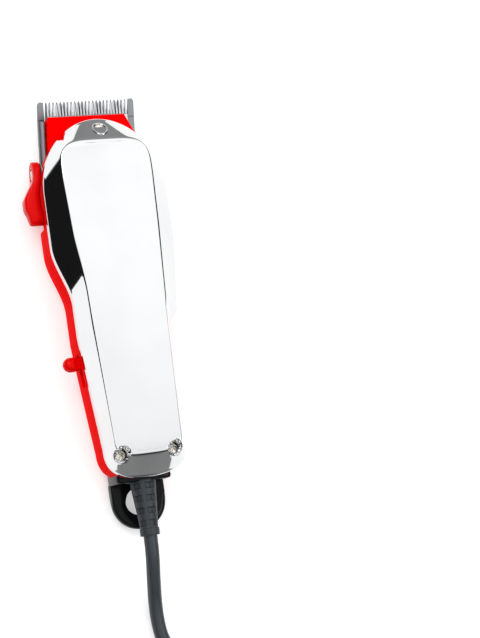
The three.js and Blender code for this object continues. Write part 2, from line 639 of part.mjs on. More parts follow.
// ---------------------------------------------------------------- taper lever
function taperLever() {
  const outerX = RECESS_X - GAP * 2 - WASHER_THICKNESS;
  const hub = arcPoints([PIVOT_Y, PIVOT_Z], 6.2, -95, 85, 10);
  const tipCentre = [PIVOT_Y - LEVER_REACH + 3.4, PIVOT_Z + 2.2];
  const side = [...hub, ...arcPoints(tipCentre, 3.4, 95, 265, 8)];
  const blank = sidePlate(side, [outerX - 12, outerX]);
  const plan = plate([
    [outerX, PIVOT_Y + 7], [outerX - 3.4, PIVOT_Y + 7], [outerX - 3.8, PIVOT_Y - 3],
    [outerX - 6.8, PIVOT_Y - 7.5], [outerX - 9.6, PIVOT_Y - 12.5], [outerX - 9.2, PIVOT_Y - 18],
    [outerX - 7.6, PIVOT_Y - 25], [outerX - 0.6, PIVOT_Y - 25], [outerX - 1.2, PIVOT_Y - 19],
    [outerX - 1.2, PIVOT_Y - 8], [outerX, PIVOT_Y - 6],
  ].reverse(), [0, RIM_Z]);
  return cut(blank.intersect(plan), [
    rod(PIVOT_RADIUS + GAP, [outerX - 2.9, PIVOT_Y, PIVOT_Z], [outerX + 5, PIVOT_Y, PIVOT_Z], 20),
    rod(SMALL_SCREW.shank + GAP, [outerX - 15, PIVOT_Y, PIVOT_Z], [outerX, PIVOT_Y, PIVOT_Z], 12),
  ]);
}

function leverEccentric() {
  const outerX = RECESS_X - GAP * 2 - WASHER_THICKNESS;
  const discX = [RECESS_X + 1.4 + GAP, -HEAD_HALF - GAP];
  const pinZ = PIVOT_Z - ECCENTRICITY;
  const shaft = rod(PIVOT_RADIUS, [outerX - 2.6, PIVOT_Y, PIVOT_Z], [discX[1], PIVOT_Y, PIVOT_Z], 20);
  const disc = rod(ECCENTRICITY + 1.6, [discX[0], PIVOT_Y, PIVOT_Z], [discX[1], PIVOT_Y, PIVOT_Z], 24);
  const pin = rod(ECCENTRIC_PIN_RADIUS, [discX[0], PIVOT_Y, pinZ], [-HEAD_HALF + 3.6, PIVOT_Y, pinZ]);
  const thread = rod(SMALL_SCREW.shank + GAP, [outerX - 10, PIVOT_Y, PIVOT_Z],
    [outerX + 3, PIVOT_Y, PIVOT_Z], 12);
  return union([shaft, disc, pin]).subtract(thread);
}

function leverScrew() {
  const outerX = RECESS_X - GAP * 2 - WASHER_THICKNESS;
  return screw(SMALL_SCREW, [outerX - 3.8 - GAP, PIVOT_Y, PIVOT_Z], [-1, 0, 0], 6);
}

function leverWasher() {
  const start = RECESS_X - GAP;
  const ring = rod(5.6, [start - WASHER_THICKNESS, PIVOT_Y, PIVOT_Z], [start, PIVOT_Y, PIVOT_Z], 24);
  return ring.subtract(rod(PIVOT_RADIUS + GAP, [-60, PIVOT_Y, PIVOT_Z], [0, PIVOT_Y, PIVOT_Z], 20));
}

// ---------------------------------------------------------------- motor
const WINDOW_Y = COIL_Y - CORE_MIDDLE_LEG / 2;   // tail side of the core's middle leg
const COIL_X = [POLE_X + 1.2, CORE_RIGHT_X - CORE_BACK - GAP];

// Stack of E-shaped laminations: a back with three legs that face the armature.
function coilCore() {
  const [y0, y1] = CORE_Y;
  const backX = CORE_RIGHT_X - CORE_BACK;
  const contour = [
    [CORE_RIGHT_X, y0], [CORE_RIGHT_X, y1], [POLE_X, y1], [POLE_X, y1 - CORE_LEG],
    [backX, y1 - CORE_LEG], [backX, WINDOW_Y + CORE_MIDDLE_LEG], [POLE_X, WINDOW_Y + CORE_MIDDLE_LEG],
    [POLE_X, WINDOW_Y], [backX, WINDOW_Y], [backX, y0 + CORE_LEG], [POLE_X, y0 + CORE_LEG], [POLE_X, y0],
  ];
  const stack = plate(contour, [STACK_Z, STACK_TOP_Z]);
  return cut(stack, CORE_SCREW_Y.map(
    (y) => rod(SMALL_SCREW.shank + GAP, [CORE_SCREW_X, y, 0], [CORE_SCREW_X, y, 60], 12)));
}

function legHole(extra) {
  return block([POLE_X - 5, CORE_RIGHT_X], [WINDOW_Y - extra, WINDOW_Y + CORE_MIDDLE_LEG + extra],
    [STACK_Z - extra, STACK_TOP_Z + extra]);
}

// Spool that slides on the middle leg, with a flange at each end.
function coilBobbin() {
  const reach = COIL_WALL - 0.6;
  const wide = (x) => block(x, [WINDOW_Y - reach, WINDOW_Y + CORE_MIDDLE_LEG + reach],
    [STACK_Z - reach, STACK_TOP_Z + reach]);
  const sleeve = block(COIL_X, [WINDOW_Y - GAP - 1, WINDOW_Y + CORE_MIDDLE_LEG + GAP + 1],
    [STACK_Z - GAP - 1, STACK_TOP_Z + GAP + 1]);
  const flanges = [
    wide([COIL_X[0], COIL_X[0] + BOBBIN_FLANGE]),
    wide([COIL_X[1] - BOBBIN_FLANGE, COIL_X[1]]),
  ];
  return union([sleeve, ...flanges]).subtract(legHole(GAP));
}

function coilWinding() {
  const depth = COIL_WALL - 1.4;
  const side = [
    [WINDOW_Y - depth, WINDOW_Y + CORE_MIDDLE_LEG + depth],
    [STACK_Z - depth, STACK_TOP_Z + depth],
  ];
  const corner = 5;
  const [[a, b], [c, d]] = side;
  const rounded = [
    ...arcPoints([b - corner, d - corner], corner, 0, 90, 4),
    ...arcPoints([a + corner, d - corner], corner, 90, 180, 4),
    ...arcPoints([a + corner, c + corner], corner, 180, 270, 4),
    ...arcPoints([b - corner, c + corner], corner, 270, 360, 4),
  ];
  const length = [COIL_X[0] + BOBBIN_FLANGE + GAP, COIL_X[1] - BOBBIN_FLANGE - GAP];
  return sidePlate(rounded, length).subtract(legHole(GAP * 2 + 1));
}

function coreScrew(y) {
  return screw(SMALL_SCREW, [CORE_SCREW_X, y, STACK_TOP_Z + GAP], [0, 0, 1], STACK_HEIGHT + 5);
}

const ARM_NOSE_HALF = 3;
const ARM_BEND_Y = [CORE_Y[1] + 4, PIVOT_Y + 2];   // right flank, from the motor to the nose

function armRightX(y) {
  const share = (y - ARM_BEND_Y[0]) / (ARM_BEND_Y[1] - ARM_BEND_Y[0]);
  return lerp(ARM_X + ARM_THICKNESS / 2, ARM_NOSE_HALF, share);
}

// Steel and nylon arm that swings on the leaf; its nose reaches over the blade carrier.
function armatureArm() {
  const half = ARM_THICKNESS / 2;
  const [noseY, noseZ] = bladePoint(SLOT_IN_CUTTER.to + 4.6, CARRIER_THICKNESS + GAP * 3);
  const plan = plate([
    [ARM_X - half, HINGE_Y + 6], [ARM_X + half, HINGE_Y + 6], [ARM_X + half, ARM_BEND_Y[0]],
    [ARM_NOSE_HALF, ARM_BEND_Y[1]], [ARM_NOSE_HALF, noseY], [-ARM_NOSE_HALF, noseY],
    [-ARM_NOSE_HALF, ARM_BEND_Y[1]], [ARM_X - half, ARM_BEND_Y[0] + 2],
  ], [0, 40]);
  const profile = sidePlate([
    [HINGE_Y, STACK_Z - 1], [PIVOT_Y - 7, STACK_Z - 1], [PIVOT_Y + 5, noseZ - 1.8],
    [noseY + 1, noseZ + 0.9], [noseY + 1, DECK_UNDER_Z - 0.9], [PIVOT_Y + 1, DECK_UNDER_Z - 0.9],
    [PIVOT_Y - 9, STACK_TOP_Z - 1], [HINGE_Y, STACK_TOP_Z - 1],
  ], [-40, 40]);
  const leafHalf = LEAF / 2 + GAP;
  const leafSlot = block([ARM_X - leafHalf, ARM_X + leafHalf], [HINGE_Y, HINGE_Y + 11], [0, 40]);
  return plan.intersect(profile).subtract(leafSlot);
}

function armatureLaminations() {
  const x = [ARM_X + ARM_THICKNESS / 2 + GAP, POLE_X - POLE_GAP];
  return block(x, CORE_Y, [STACK_Z, STACK_TOP_Z]);
}

// Nylon finger that sits in the cutter's slot and drives it from side to side.
function driveTip() {
  const { halfWidth, from, to } = SLOT_IN_CUTTER;
  const peg = block([-halfWidth + GAP, halfWidth - GAP], [from + GAP, to - GAP], [GAP + 0.3, 4]);
  const cap = block([-3.4, 3.4], [from - 0.2, to + 2.4], [CUTTER_THICKNESS + GAP * 2 + 1.1, 6.2]);
  return placeOnBlade(peg.add(cap));
}

// Flat spring under the finger that presses the cutter on to the fixed blade.
function tensionSpring() {
  const low = CUTTER_THICKNESS + GAP * 2;
  const wings = block([-14, 14], [SLOT_IN_CUTTER.to - 2.2, SLOT_IN_CUTTER.to + 1.6], [low, low + 0.8]);
  const { halfWidth, from, to } = SLOT_IN_CUTTER;
  return placeOnBlade(wings.subtract(block([-halfWidth, halfWidth], [from, to], [0, 10])));
}

const LEAF = 0.8;

function hingeLeaf() {
  const x = [ARM_X - LEAF / 2, ARM_X + LEAF / 2];
  return block(x, [HINGE_Y - 11, HINGE_Y + 10], [STACK_Z, STACK_TOP_Z - 3]);
}

// Bracket on the housing that clamps the leaf, with a foot for its screw.
function leafBracket() {
  const y = [HINGE_Y - 12, HINGE_Y - 4];
  const tower = block([ARM_X - 3, ARM_X + 3], y, [8, STACK_TOP_Z - 2]);
  const foot = block([ARM_X - 3, ARM_X + 10], y, [8, 10]);
  const slot = block([ARM_X - LEAF / 2 - GAP, ARM_X + LEAF / 2 + GAP], [HINGE_Y - 11.3, HINGE_Y],
    [STACK_Z - GAP, 60]);
  const hole = rod(SMALL_SCREW.shank + GAP, [ARM_X + 7, HINGE_Y - 8, 0], [ARM_X + 7, HINGE_Y - 8, 30], 12);
  return cut(tower.add(foot), [slot, hole]);
}

// Coil spring along X, shown as its wire. The springs end clear of the arm's swing and of the
// lever's eccentric disc.
const SPRING_FRONT_Y = POWER_SCREW_Y + SPRING_RADIUS + SPRING_WIRE;
const ARM_SWING = 0.0123 * (SPRING_FRONT_Y - HINGE_Y);
const SPRING_CLEARANCE = ARM_SWING + SPRING_WIRE + GAP;
const LEFT_SPRING_X = [-HEAD_HALF + SPRING_WIRE + GAP, ARM_X - ARM_THICKNESS / 2 - SPRING_WIRE];
const POWER_SCREW_HEAD_X = rightHalf(POWER_SCREW_Y) + 2 * GAP;
const POWER_SCREW_TIP_X = POWER_SCREW_HEAD_X - POWER_SCREW_REACH;
const RIGHT_SPRING_X = [armRightX(SPRING_FRONT_Y) + SPRING_CLEARANCE, POWER_SCREW_TIP_X - 2 * SPRING_WIRE];

function returnSpring([fromX, toX]) {
  const turns = 6;
  const steps = turns * 6;
  const points = Array.from({ length: steps + 1 }, (_, i) => {
    const angle = 2 * Math.PI * turns * i / steps;
    return [lerp(fromX, toX, i / steps), POWER_SCREW_Y + SPRING_RADIUS * Math.cos(angle),
      POWER_SCREW_Z + SPRING_RADIUS * Math.sin(angle)];
  });
  return tube(points, SPRING_WIRE, 4, steps);
}

function powerScrew() {
  const along = (radius, fromX, toX, sides) => rod(
    radius, [fromX, POWER_SCREW_Y, POWER_SCREW_Z], [toX, POWER_SCREW_Y, POWER_SCREW_Z], sides);
  const { radius, height } = POWER_SCREW_HEAD;
  const head = along(radius, POWER_SCREW_HEAD_X, POWER_SCREW_HEAD_X + height, 24);
  const shank = along(POWER_SCREW_RADIUS, POWER_SCREW_TIP_X, POWER_SCREW_HEAD_X + 0.1, 16);
  const slot = block([POWER_SCREW_HEAD_X + height - 1, POWER_SCREW_HEAD_X + 5],
    [POWER_SCREW_Y - 5, POWER_SCREW_Y + 5], [POWER_SCREW_Z - 0.6, POWER_SCREW_Z + 0.6]);
  return head.add(shank).subtract(slot);
}

// ---------------------------------------------------------------- switch
const SLIDER_HALF = 7;
const SLIDER_PLATE_START = -leftHalf(SWITCH_Y - SLIDER_HALF - SWITCH_TRAVEL) + HOUSING_WALL + GAP;
const SLIDER_PLATE_X = [SLIDER_PLATE_START, SLIDER_PLATE_START + 1.4];

function switchSlider() {
  const knobX = SWITCH_WALL_X - 4.2;
  const neck = SWITCH_NECK / 2;
  return union([
    ball(3.3, [knobX, SWITCH_Y, SWITCH_Z]),
    block([knobX, SLIDER_PLATE_X[0] + 0.5], [SWITCH_Y - neck, SWITCH_Y + neck],
      [SWITCH_Z - SWITCH_SLOT_HEIGHT / 2 + GAP, SWITCH_Z + SWITCH_SLOT_HEIGHT / 2 - GAP]),
    block(SLIDER_PLATE_X, [SWITCH_Y - SLIDER_HALF, SWITCH_Y + SLIDER_HALF], [SWITCH_Z - 4, SWITCH_Z + 3.6]),
  ]);
}

function switchBody() {
  const x0 = SLIDER_PLATE_X[1] + GAP;
  return block([x0, x0 + SWITCH_DEPTH], [SWITCH_Y - 15, SWITCH_Y + 9], [SWITCH_Z - 7, SWITCH_Z + 4])
    .add(block([x0 + 1, x0 + SWITCH_DEPTH - 1], [SWITCH_Y - 13, SWITCH_Y + 7], [6.8, SWITCH_Z - 6]));
}

function switchContact(y) {
  const x0 = SLIDER_PLATE_X[1] + GAP * 2 + SWITCH_DEPTH;
  return block([x0, x0 + 0.6], [y - 1.5, y + 1.5], [SWITCH_Z - 6, SWITCH_Z + 5.5]);
}

// ---------------------------------------------------------------- cord exit
function strainRelief() {
  const mouth = TAIL_END_Y - GAP;
  const inside = TAIL_END_Y + HOUSING_WALL + GAP * 3;
  const bore = CORD_RADIUS + GAP;
  return turnedAlongY([
    [bore, inside + 3], [bore, CORD_EXIT_Y], [RELIEF_END_RADIUS + RELIEF_COLLAR, CORD_EXIT_Y],
    [RELIEF_END_RADIUS + RELIEF_COLLAR, CORD_EXIT_Y + 3], [RELIEF_END_RADIUS, CORD_EXIT_Y + 3.4],
    [RELIEF_RADIUS - 0.3, mouth - 3], [RELIEF_RADIUS, mouth - 2.4], [RELIEF_RADIUS, mouth],
    [RELIEF_NECK, mouth], [RELIEF_NECK, inside], [RELIEF_FLANGE_RADIUS, inside],
    [RELIEF_FLANGE_RADIUS, inside + 3], [bore, inside + 3],
  ], [0, CORD_Z], 20);
}

function cordInside() {
  return rod(CORD_RADIUS, [0, CORD_EXIT_Y + 0.5, CORD_Z], [0, -57, CORD_Z], 12);
}

function cordClamp() {
  const bar = block([-CLAMP_HALF_WIDTH, CLAMP_HALF_WIDTH], CLAMP_Y, CLAMP_Z);
  return cut(bar, [
    rod(CORD_RADIUS + GAP, [0, -80, CORD_Z], [0, -50, CORD_Z], 16),
    ...[-CLAMP_SCREW_X, CLAMP_SCREW_X].map(
      (x) => rod(SMALL_SCREW.shank + GAP, [x, CLAMP_SCREW_Y, 0], [x, CLAMP_SCREW_Y, 40], 12)),
  ]);
}

function clampScrew(side) {
  return screw(SMALL_SCREW, [side * CLAMP_SCREW_X, CLAMP_SCREW_Y, CLAMP_Z[1] + GAP], [0, 0, 1], 17);
}

function hangingLoop() {
  const startY = TAIL_END_Y - GAP;
  const endY = startY - LOOP_LENGTH;
  const centreY = endY + LOOP_HALF_WIDTH;
  const ring = plate([
    [LOOP_HALF_WIDTH - 0.5, startY], [-LOOP_HALF_WIDTH + 0.5, startY],
    ...arcPoints([0, centreY], LOOP_HALF_WIDTH, 180, 360, 16),
  ], LOOP_Z, [arcPoints([0, centreY], LOOP_HOLE, 360, 22.5, 15)]);
  const tongue = block([-8, 8], [startY - 1, TAIL_END_Y + 6.5], [LOOP_Z[0] + 1.5, LOOP_Z[1] - 1.2]);
  return ring.add(tongue);
}

function leadWire(points) {
  return tube(points, 0.9, 5, 14);
}

// ---------------------------------------------------------------- free cord and plug
function cordRun() {
  return tube([[0, CORD_EXIT_Y - GAP, CORD_Z], ...CORD_ROUTE], CORD_RADIUS, 10, 26);
}

function cordCoil() {
  const [inner, outer] = COIL_RADII;
  const [low, high] = COIL_Z;
  const corner = CORD_RADIUS * 0.7;
  const profile = [
    [inner + corner, low], [outer - corner, low], [outer, low + corner], [outer, high - corner],
    [outer - corner, high], [inner + corner, high], [inner, high - corner], [inner, low + corner],
    [inner + corner, low],
  ].map(([radius, z]) => new THREE.Vector2(radius, z));
  const geometry = new THREE.LatheGeometry(profile, 40);
  geometry.rotateX(Math.PI / 2);
  geometry.translate(...COIL_CENTRE, 0);
  return toSolid(geometry);
}

// Band round the coil's turns.
function cordTie() {
  const [inner, outer] = COIL_RADII;
  const [low, high] = COIL_Z;
  const half = TIE_WIDTH / 2;
  const frame = (extra, width) => block(
    [inner - extra - GAP, outer + extra], [-width, width], [low - extra, high + extra]);
  const band = frame(GAP + TIE_THICKNESS, half).subtract(frame(GAP, half + 1));
  const geometry = toGeometry(band);
  geometry.rotateZ(TIE_ANGLE);
  geometry.translate(...COIL_CENTRE, 0);
  return toSolid(geometry);
}

// The plug lies on the coil and points along -X, in line with the end of the cord.
const [PLUG_START_X, PLUG_Y, PLUG_Z] = CORD_END_ROUTE[CORD_END_ROUTE.length - 1];
const PLUG_NOSE_X = PLUG_START_X - GAP * 4;
const PLUG_SHELL_X = PLUG_NOSE_X - PLUG_BODY.nose;
const PLUG_FRONT_X = PLUG_SHELL_X - PLUG_BODY.length;

function plugBody() {
  const { width, thickness, nose } = PLUG_BODY;
  const half = width / 2;
  const shell = plate([
    [PLUG_SHELL_X + 2, PLUG_Y + 5.5], [PLUG_SHELL_X - 8, PLUG_Y + half - 1], [PLUG_FRONT_X, PLUG_Y + half],
    [PLUG_FRONT_X, PLUG_Y - half], [PLUG_SHELL_X - 8, PLUG_Y - half + 1], [PLUG_SHELL_X + 2, PLUG_Y - 5.5],
  ], [PLUG_Z - thickness / 2, PLUG_Z + thickness / 2]);
  const sleeve = new THREE.CylinderGeometry(4.2, 5.2, nose, 16);
  sleeve.rotateZ(-Math.PI / 2);
  sleeve.translate(PLUG_NOSE_X - nose / 2, PLUG_Y, PLUG_Z);
  return shell.add(toSolid(sleeve));
}

function plugBlade(side) {
  const { width, length, thickness, pitch } = PLUG_BLADE;
  const y = PLUG_Y + side * pitch / 2;
  const rear = PLUG_FRONT_X - GAP;
  return block([rear - length, rear], [y - thickness / 2, y + thickness / 2],
    [PLUG_Z - width / 2, PLUG_Z + width / 2]);
}

// ---------------------------------------------------------------- assembly
const clipper = new THREE.Group();

function addPiece(name, solid, finish) {
  const mesh = new THREE.Mesh(toGeometry(solid), new THREE.MeshStandardMaterial(finish));
  mesh.name = name;
  clipper.add(mesh);
}

addPiece('lower_housing', lowerHousing(), RED);
addPiece('top_cover', topCover(), CHROME);
addPiece('cover_screw_tail_left', coverScrew(-TAIL_SCREW_X, TAIL_SCREW_Y, 17), NICKEL);
addPiece('cover_screw_tail_right', coverScrew(TAIL_SCREW_X, TAIL_SCREW_Y, 17), NICKEL);
addPiece('cover_screw_head', coverScrew(0, HEAD_SCREW_Y, COVER_SCREW_SEAT + DECK_THICKNESS), NICKEL);

addPiece('fixed_blade', fixedBlade(), STEEL);
addPiece('moving_blade', movingBlade(), STEEL);
addPiece('blade_carrier', bladeCarrier(), STEEL);
addPiece('blade_screw_left', bladeScrew(-1), NICKEL);
addPiece('blade_screw_right', bladeScrew(1), NICKEL);

addPiece('taper_lever', taperLever(), RED);
addPiece('lever_eccentric', leverEccentric(), STEEL);
addPiece('lever_screw', leverScrew(), NICKEL);
addPiece('lever_washer', leverWasher(), STEEL);

addPiece('armature_arm', armatureArm(), NYLON);
addPiece('armature_laminations', armatureLaminations(), LAMINATION);
addPiece('drive_tip', driveTip(), NYLON);
addPiece('tension_spring', tensionSpring(), STEEL);
addPiece('hinge_leaf', hingeLeaf(), STEEL);
addPiece('leaf_bracket', leafBracket(), STEEL);
addPiece('bracket_screw', screw(SMALL_SCREW, [ARM_X + 7, HINGE_Y - 8, 10 + GAP], [0, 0, 1], 7), NICKEL);
addPiece('return_spring_left', returnSpring(LEFT_SPRING_X), STEEL);
addPiece('return_spring_right', returnSpring(RIGHT_SPRING_X), STEEL);
addPiece('power_screw', powerScrew(), BRASS);

addPiece('coil_core', coilCore(), LAMINATION);
addPiece('coil_bobbin', coilBobbin(), NYLON);
addPiece('coil_winding', coilWinding(), COPPER);
addPiece('core_screw_rear', coreScrew(CORE_SCREW_Y[0]), NICKEL);
addPiece('core_screw_front', coreScrew(CORE_SCREW_Y[1]), NICKEL);

addPiece('switch_slider', switchSlider(), RED);
addPiece('switch_body', switchBody(), BLACK);
addPiece('switch_contact_rear', switchContact(SWITCH_Y - 11), BRASS);
addPiece('switch_contact_front', switchContact(SWITCH_Y + 6.5), BRASS);

addPiece('strain_relief', strainRelief(), CHARCOAL);
addPiece('hanging_loop', hangingLoop(), BLACK);
addPiece('cord_inside', cordInside(), CHARCOAL);
addPiece('cord_clamp', cordClamp(), BLACK);
addPiece('clamp_screw_left', clampScrew(-1), NICKEL);
addPiece('clamp_screw_right', clampScrew(1), NICKEL);
addPiece('lead_live', leadWire([[-1.3, -56, 18.6], [-4, -50, 20], [-8, -46, 21], [-9.3, -43, 21]]), BROWN);
addPiece('lead_switched', leadWire(
  [[-9.5, -22, 24], [-6, -18, 28], [2, -10, 29], [8, -2, 28], [8.5, 3.6, 26.6]]), BROWN);
addPiece('lead_neutral', leadWire(
  [[1.3, -56, 18.6], [6, -45, 18], [11, -28, 12], [12, -12, 7.5], [11, -2, 7], [10.5, 3.6, 7]]), BLUE);

addPiece('cord_run', cordRun(), CHARCOAL);
addPiece('cord_coil', cordCoil(), CHARCOAL);
addPiece('cord_tie', cordTie(), BLACK);
addPiece('cord_end', tube(CORD_END_ROUTE, CORD_RADIUS, 10, 10), CHARCOAL);
addPiece('plug_body', plugBody(), CHARCOAL);
addPiece('plug_blade_left', plugBlade(-1), BRASS);
addPiece('plug_blade_right', plugBlade(1), BRASS);

export default clipper;
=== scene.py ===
from math import pi, radians

import bmesh
import bpy
import numpy as np
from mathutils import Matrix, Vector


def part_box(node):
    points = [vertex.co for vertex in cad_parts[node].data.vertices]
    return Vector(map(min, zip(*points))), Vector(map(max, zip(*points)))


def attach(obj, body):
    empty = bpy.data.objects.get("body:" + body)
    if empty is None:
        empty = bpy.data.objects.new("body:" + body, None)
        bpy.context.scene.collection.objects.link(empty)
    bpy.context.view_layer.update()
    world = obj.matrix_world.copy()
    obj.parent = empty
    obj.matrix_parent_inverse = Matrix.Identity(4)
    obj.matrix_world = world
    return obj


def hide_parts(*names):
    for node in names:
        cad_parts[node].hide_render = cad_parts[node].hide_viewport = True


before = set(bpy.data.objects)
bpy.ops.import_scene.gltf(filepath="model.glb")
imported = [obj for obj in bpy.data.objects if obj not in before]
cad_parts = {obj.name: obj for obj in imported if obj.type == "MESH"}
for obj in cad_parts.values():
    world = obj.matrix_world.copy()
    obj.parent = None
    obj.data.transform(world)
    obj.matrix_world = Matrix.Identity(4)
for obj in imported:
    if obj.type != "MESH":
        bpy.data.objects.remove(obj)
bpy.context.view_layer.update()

# Corded hair clipper lying on its belly: +X to the right, +Y at the blades, +Z up.
# Formulas are in millimetres, and every mesh is brought to metres as it is made.
MM = 0.001

# ---------------------------------------------------------------- camera
# Looks down on the clipper from behind its left tail corner with a long lens.
camera_data = bpy.data.cameras.new("camera")
camera_data.lens = 85
camera_data.sensor_width = 36
camera = bpy.data.objects.new("camera", camera_data)
camera.location = (-0.18145, -0.12217, 0.66600)
camera.rotation_euler = (radians(11.78), radians(-18.65), radians(-9.35))
bpy.context.scene.collection.objects.link(camera)
bpy.context.scene.camera = camera


# ---------------------------------------------------------------- studio
# A pale table in a white tent. The tent is bright overhead and has dark panels low down at both
# sides and behind, which is what draws the dark lines on a polished lid.
class Signal:
    """A socket in a node tree; formulas on it add Math nodes, and node() adds any other node."""

    def __init__(self, tree, socket=None):
        self.tree = tree
        self.socket = socket

    def node(self, kind, settings=None, inputs=None, output=0):
        """Adds a node, first its settings (with a ramp's stops), then its sockets' values or links."""
        made = self.tree.nodes.new("ShaderNode" + kind)
        for key, value in (settings or {}).items():
            if key == "stops":
                ramp = made.color_ramp
                while len(ramp.elements) < len(value):
                    ramp.elements.new(1.0)
                for element, (place, shade) in zip(ramp.elements, value):
                    element.position = place
                    element.color = (*shade, 1.0)
            else:
                setattr(made, key, value)
        for key, value in (inputs or {}).items():
            if isinstance(value, Signal):
                self.tree.links.new(value.socket, made.inputs[key])
            else:
                made.inputs[key].default_value = value
        return Signal(self.tree, made.outputs[output])

    def math(self, operation, first, second):
        return self.node("Math", {"operation": operation}, {0: first, 1: second})

    def __add__(self, other):
        return self.math("ADD", self, other)

    def __sub__(self, other):
        return self.math("SUBTRACT", self, other)

    def __rsub__(self, other):
        return self.math("SUBTRACT", other, self)

    def __mul__(self, other):
        return self.math("MULTIPLY", self, other)

    def __truediv__(self, other):
        return self.math("DIVIDE", self, other)

    __radd__ = __add__
    __rmul__ = __mul__

    def step(self, low, high):
        """Smooth step: 0 below low, 1 above high."""
        return self.node("MapRange", {"interpolation_type": "SMOOTHSTEP"}, {0: self, 1: low, 2: high})

    def mix(self, first, second):
        """Colour mix with this signal as its factor."""
        return self.node("Mix", {"data_type": "RGBA"}, {0: self, 6: first, 7: second}, output=2)

    def noise(self, scale, detail=3.0, rough=0.5):
        """Noise on this vector, scale in cells per metre."""
        return self.node("TexNoise", None, {
            "Vector": self, "Scale": scale, "Detail": detail, "Roughness": rough})


def tent():
    """World light: brightness is a function of direction, white overhead, with low dark panels."""
    world = bpy.data.worlds.new("tent")
    bpy.context.scene.world = world
    world.use_nodes = True
    tree = world.node_tree
    tree.nodes.clear()
    start = Signal(tree)
    direction = start.node("TexCoord")
    split = tree.nodes.new("ShaderNodeSeparateXYZ")
    tree.links.new(direction.socket, split.inputs[0])
    across, along, height = (Signal(tree, output) for output in split.outputs)
    overhead = height.step(0.40, 0.62)
    side = (across * across).step(0.30, 0.55)
    behind = (0.0 - along).step(0.45, 0.75)
    upper_band = height.step(0.05, 0.16)
    front_tone = 0.36 + height * 0.2
    rear_tone = 0.30 - 0.26 * upper_band
    low_tone = front_tone + (rear_tone - front_tone) * behind
    low_tone = low_tone + (0.012 - low_tone) * side
    under = (0.0 - height).step(0.24, 0.34)
    low_tone = low_tone + (0.8 - low_tone) * under
    top_tone = 1.24 + 0.26 * along.step(-0.02, 0.22) - 0.10 * direction.noise(5.0, 1.0).step(0.5, 0.7)
    tone = low_tone + (top_tone - low_tone) * overhead
    seen = start.node("LightPath")
    tone = tone + (0.93 - tone) * seen
    background = start.node("Background", None, {"Color": tone, "Strength": 1.0})
    output = tree.nodes.new("ShaderNodeOutputWorld")
    tree.links.new(background.socket, output.inputs[0])


tent()


def softbox(name, place, size, power, aim=(0.0, 0.0, 0.02)):
    data = bpy.data.lights.new(name, "AREA")
    data.shape = "DISK"
    data.size = size
    data.energy = power
    light = bpy.data.objects.new(name, data)
    light.location = place
    offset = np.subtract(place, aim)
    flat = np.hypot(offset[0], offset[1])
    light.rotation_euler = (0.0, np.arctan2(flat, offset[2]), np.arctan2(offset[1], offset[0]))
    bpy.context.scene.collection.objects.link(light)


softbox("key", (-0.55, 0.55, 1.0), 0.5, 4.0)
softbox("fill", (0.7, -0.35, 0.9), 0.6, 2.5)
bpy.context.scene.view_settings.view_transform = "Standard"


def new_finish(name, **constants):
    """Material with a Principled shader. Constants are its socket values, spaces written as _."""
    material = bpy.data.materials.new(name)
    material.use_nodes = True
    shader = material.node_tree.nodes["Principled BSDF"]
    for key, value in constants.items():
        shader.inputs[key.replace("_", " ")].default_value = value
    place = Signal(material.node_tree).node("TexCoord", None, None, output=3)
    return material, shader, place


def feed(shader, **signals):
    for key, signal in signals.items():
        shader.id_data.links.new(signal.socket, shader.inputs[key.replace("_", " ")])


def relief_bump(height, distance, strength=1.0):
    """Bump whose height signal of 1 stands the given millimetres proud."""
    return height.node("Bump", None, {"Height": height, "Distance": distance * MM, "Strength": strength})


def table_finish():
    material, shader, place = new_finish("table_paint", Specular_IOR_Level=0.15,
                                         Emission_Color=(1, 1, 1, 1), Emission_Strength=0.34)
    mottle = place.noise(14.0)
    feed(shader, Base_Color=mottle.mix((0.78, 0.78, 0.78, 1), (0.80, 0.80, 0.798, 1)),
         Roughness=0.7 + mottle * 0.15)
    return material


def grid_faces(rows, columns, closed=False):
    """Corner numbers of a grid's quads; a closed grid joins its last column to its first."""
    i, j = np.meshgrid(np.arange(rows - 1), np.arange(columns - (not closed)), indexing="ij")
    after = (j + 1) % columns
    return np.stack([i * columns + j, i * columns + after,
                     (i + 1) * columns + after, (i + 1) * columns + j], -1).reshape(-1, 4)


def sheet(points, closed=False):
    """Patch over a grid of points, rows by columns."""
    rows, columns = points.shape[:2]
    return points.reshape(-1, 3), grid_faces(rows, columns, closed).tolist()


def make_piece(name, patches, finish, sharp=32, outward=True):
    """Welds patches of millimetre points and faces into one mesh object, in metres."""
    points, faces, start = [], [], 0
    for vertices, corners in patches:
        faces += [[start + corner for corner in face] for face in corners]
        points.append(vertices)
        start += len(vertices)
    mesh = bpy.data.meshes.new(name)
    mesh.from_pydata((np.concatenate(points) * MM).tolist(), [], faces)
    work = bmesh.new()
    work.from_mesh(mesh)
    bmesh.ops.remove_doubles(work, verts=work.verts, dist=2e-6)
    bmesh.ops.dissolve_degenerate(work, edges=work.edges, dist=1e-7)
    if outward:
        bmesh.ops.recalc_face_normals(work, faces=work.faces)
    work.to_mesh(mesh)
    work.free()
    mesh.shade_smooth()
    mesh.set_sharp_from_angle(angle=radians(sharp))
    mesh.materials.append(finish)
    piece = bpy.data.objects.new(name, mesh)
    bpy.context.scene.collection.objects.link(piece)
    return piece


FLOOR_RADIUS = 320.0
floor_turn = np.linspace(0, 2 * pi, 97)[None, :]
floor_reach = np.linspace(0, FLOOR_RADIUS, 9)[:, None]
floor = make_piece("table", [sheet(np.stack([
    160 + floor_reach * np.cos(floor_turn), -70 + floor_reach * np.sin(floor_turn),
    0 * floor_reach * floor_turn - 0.05], -1))], table_finish(), outward=False)


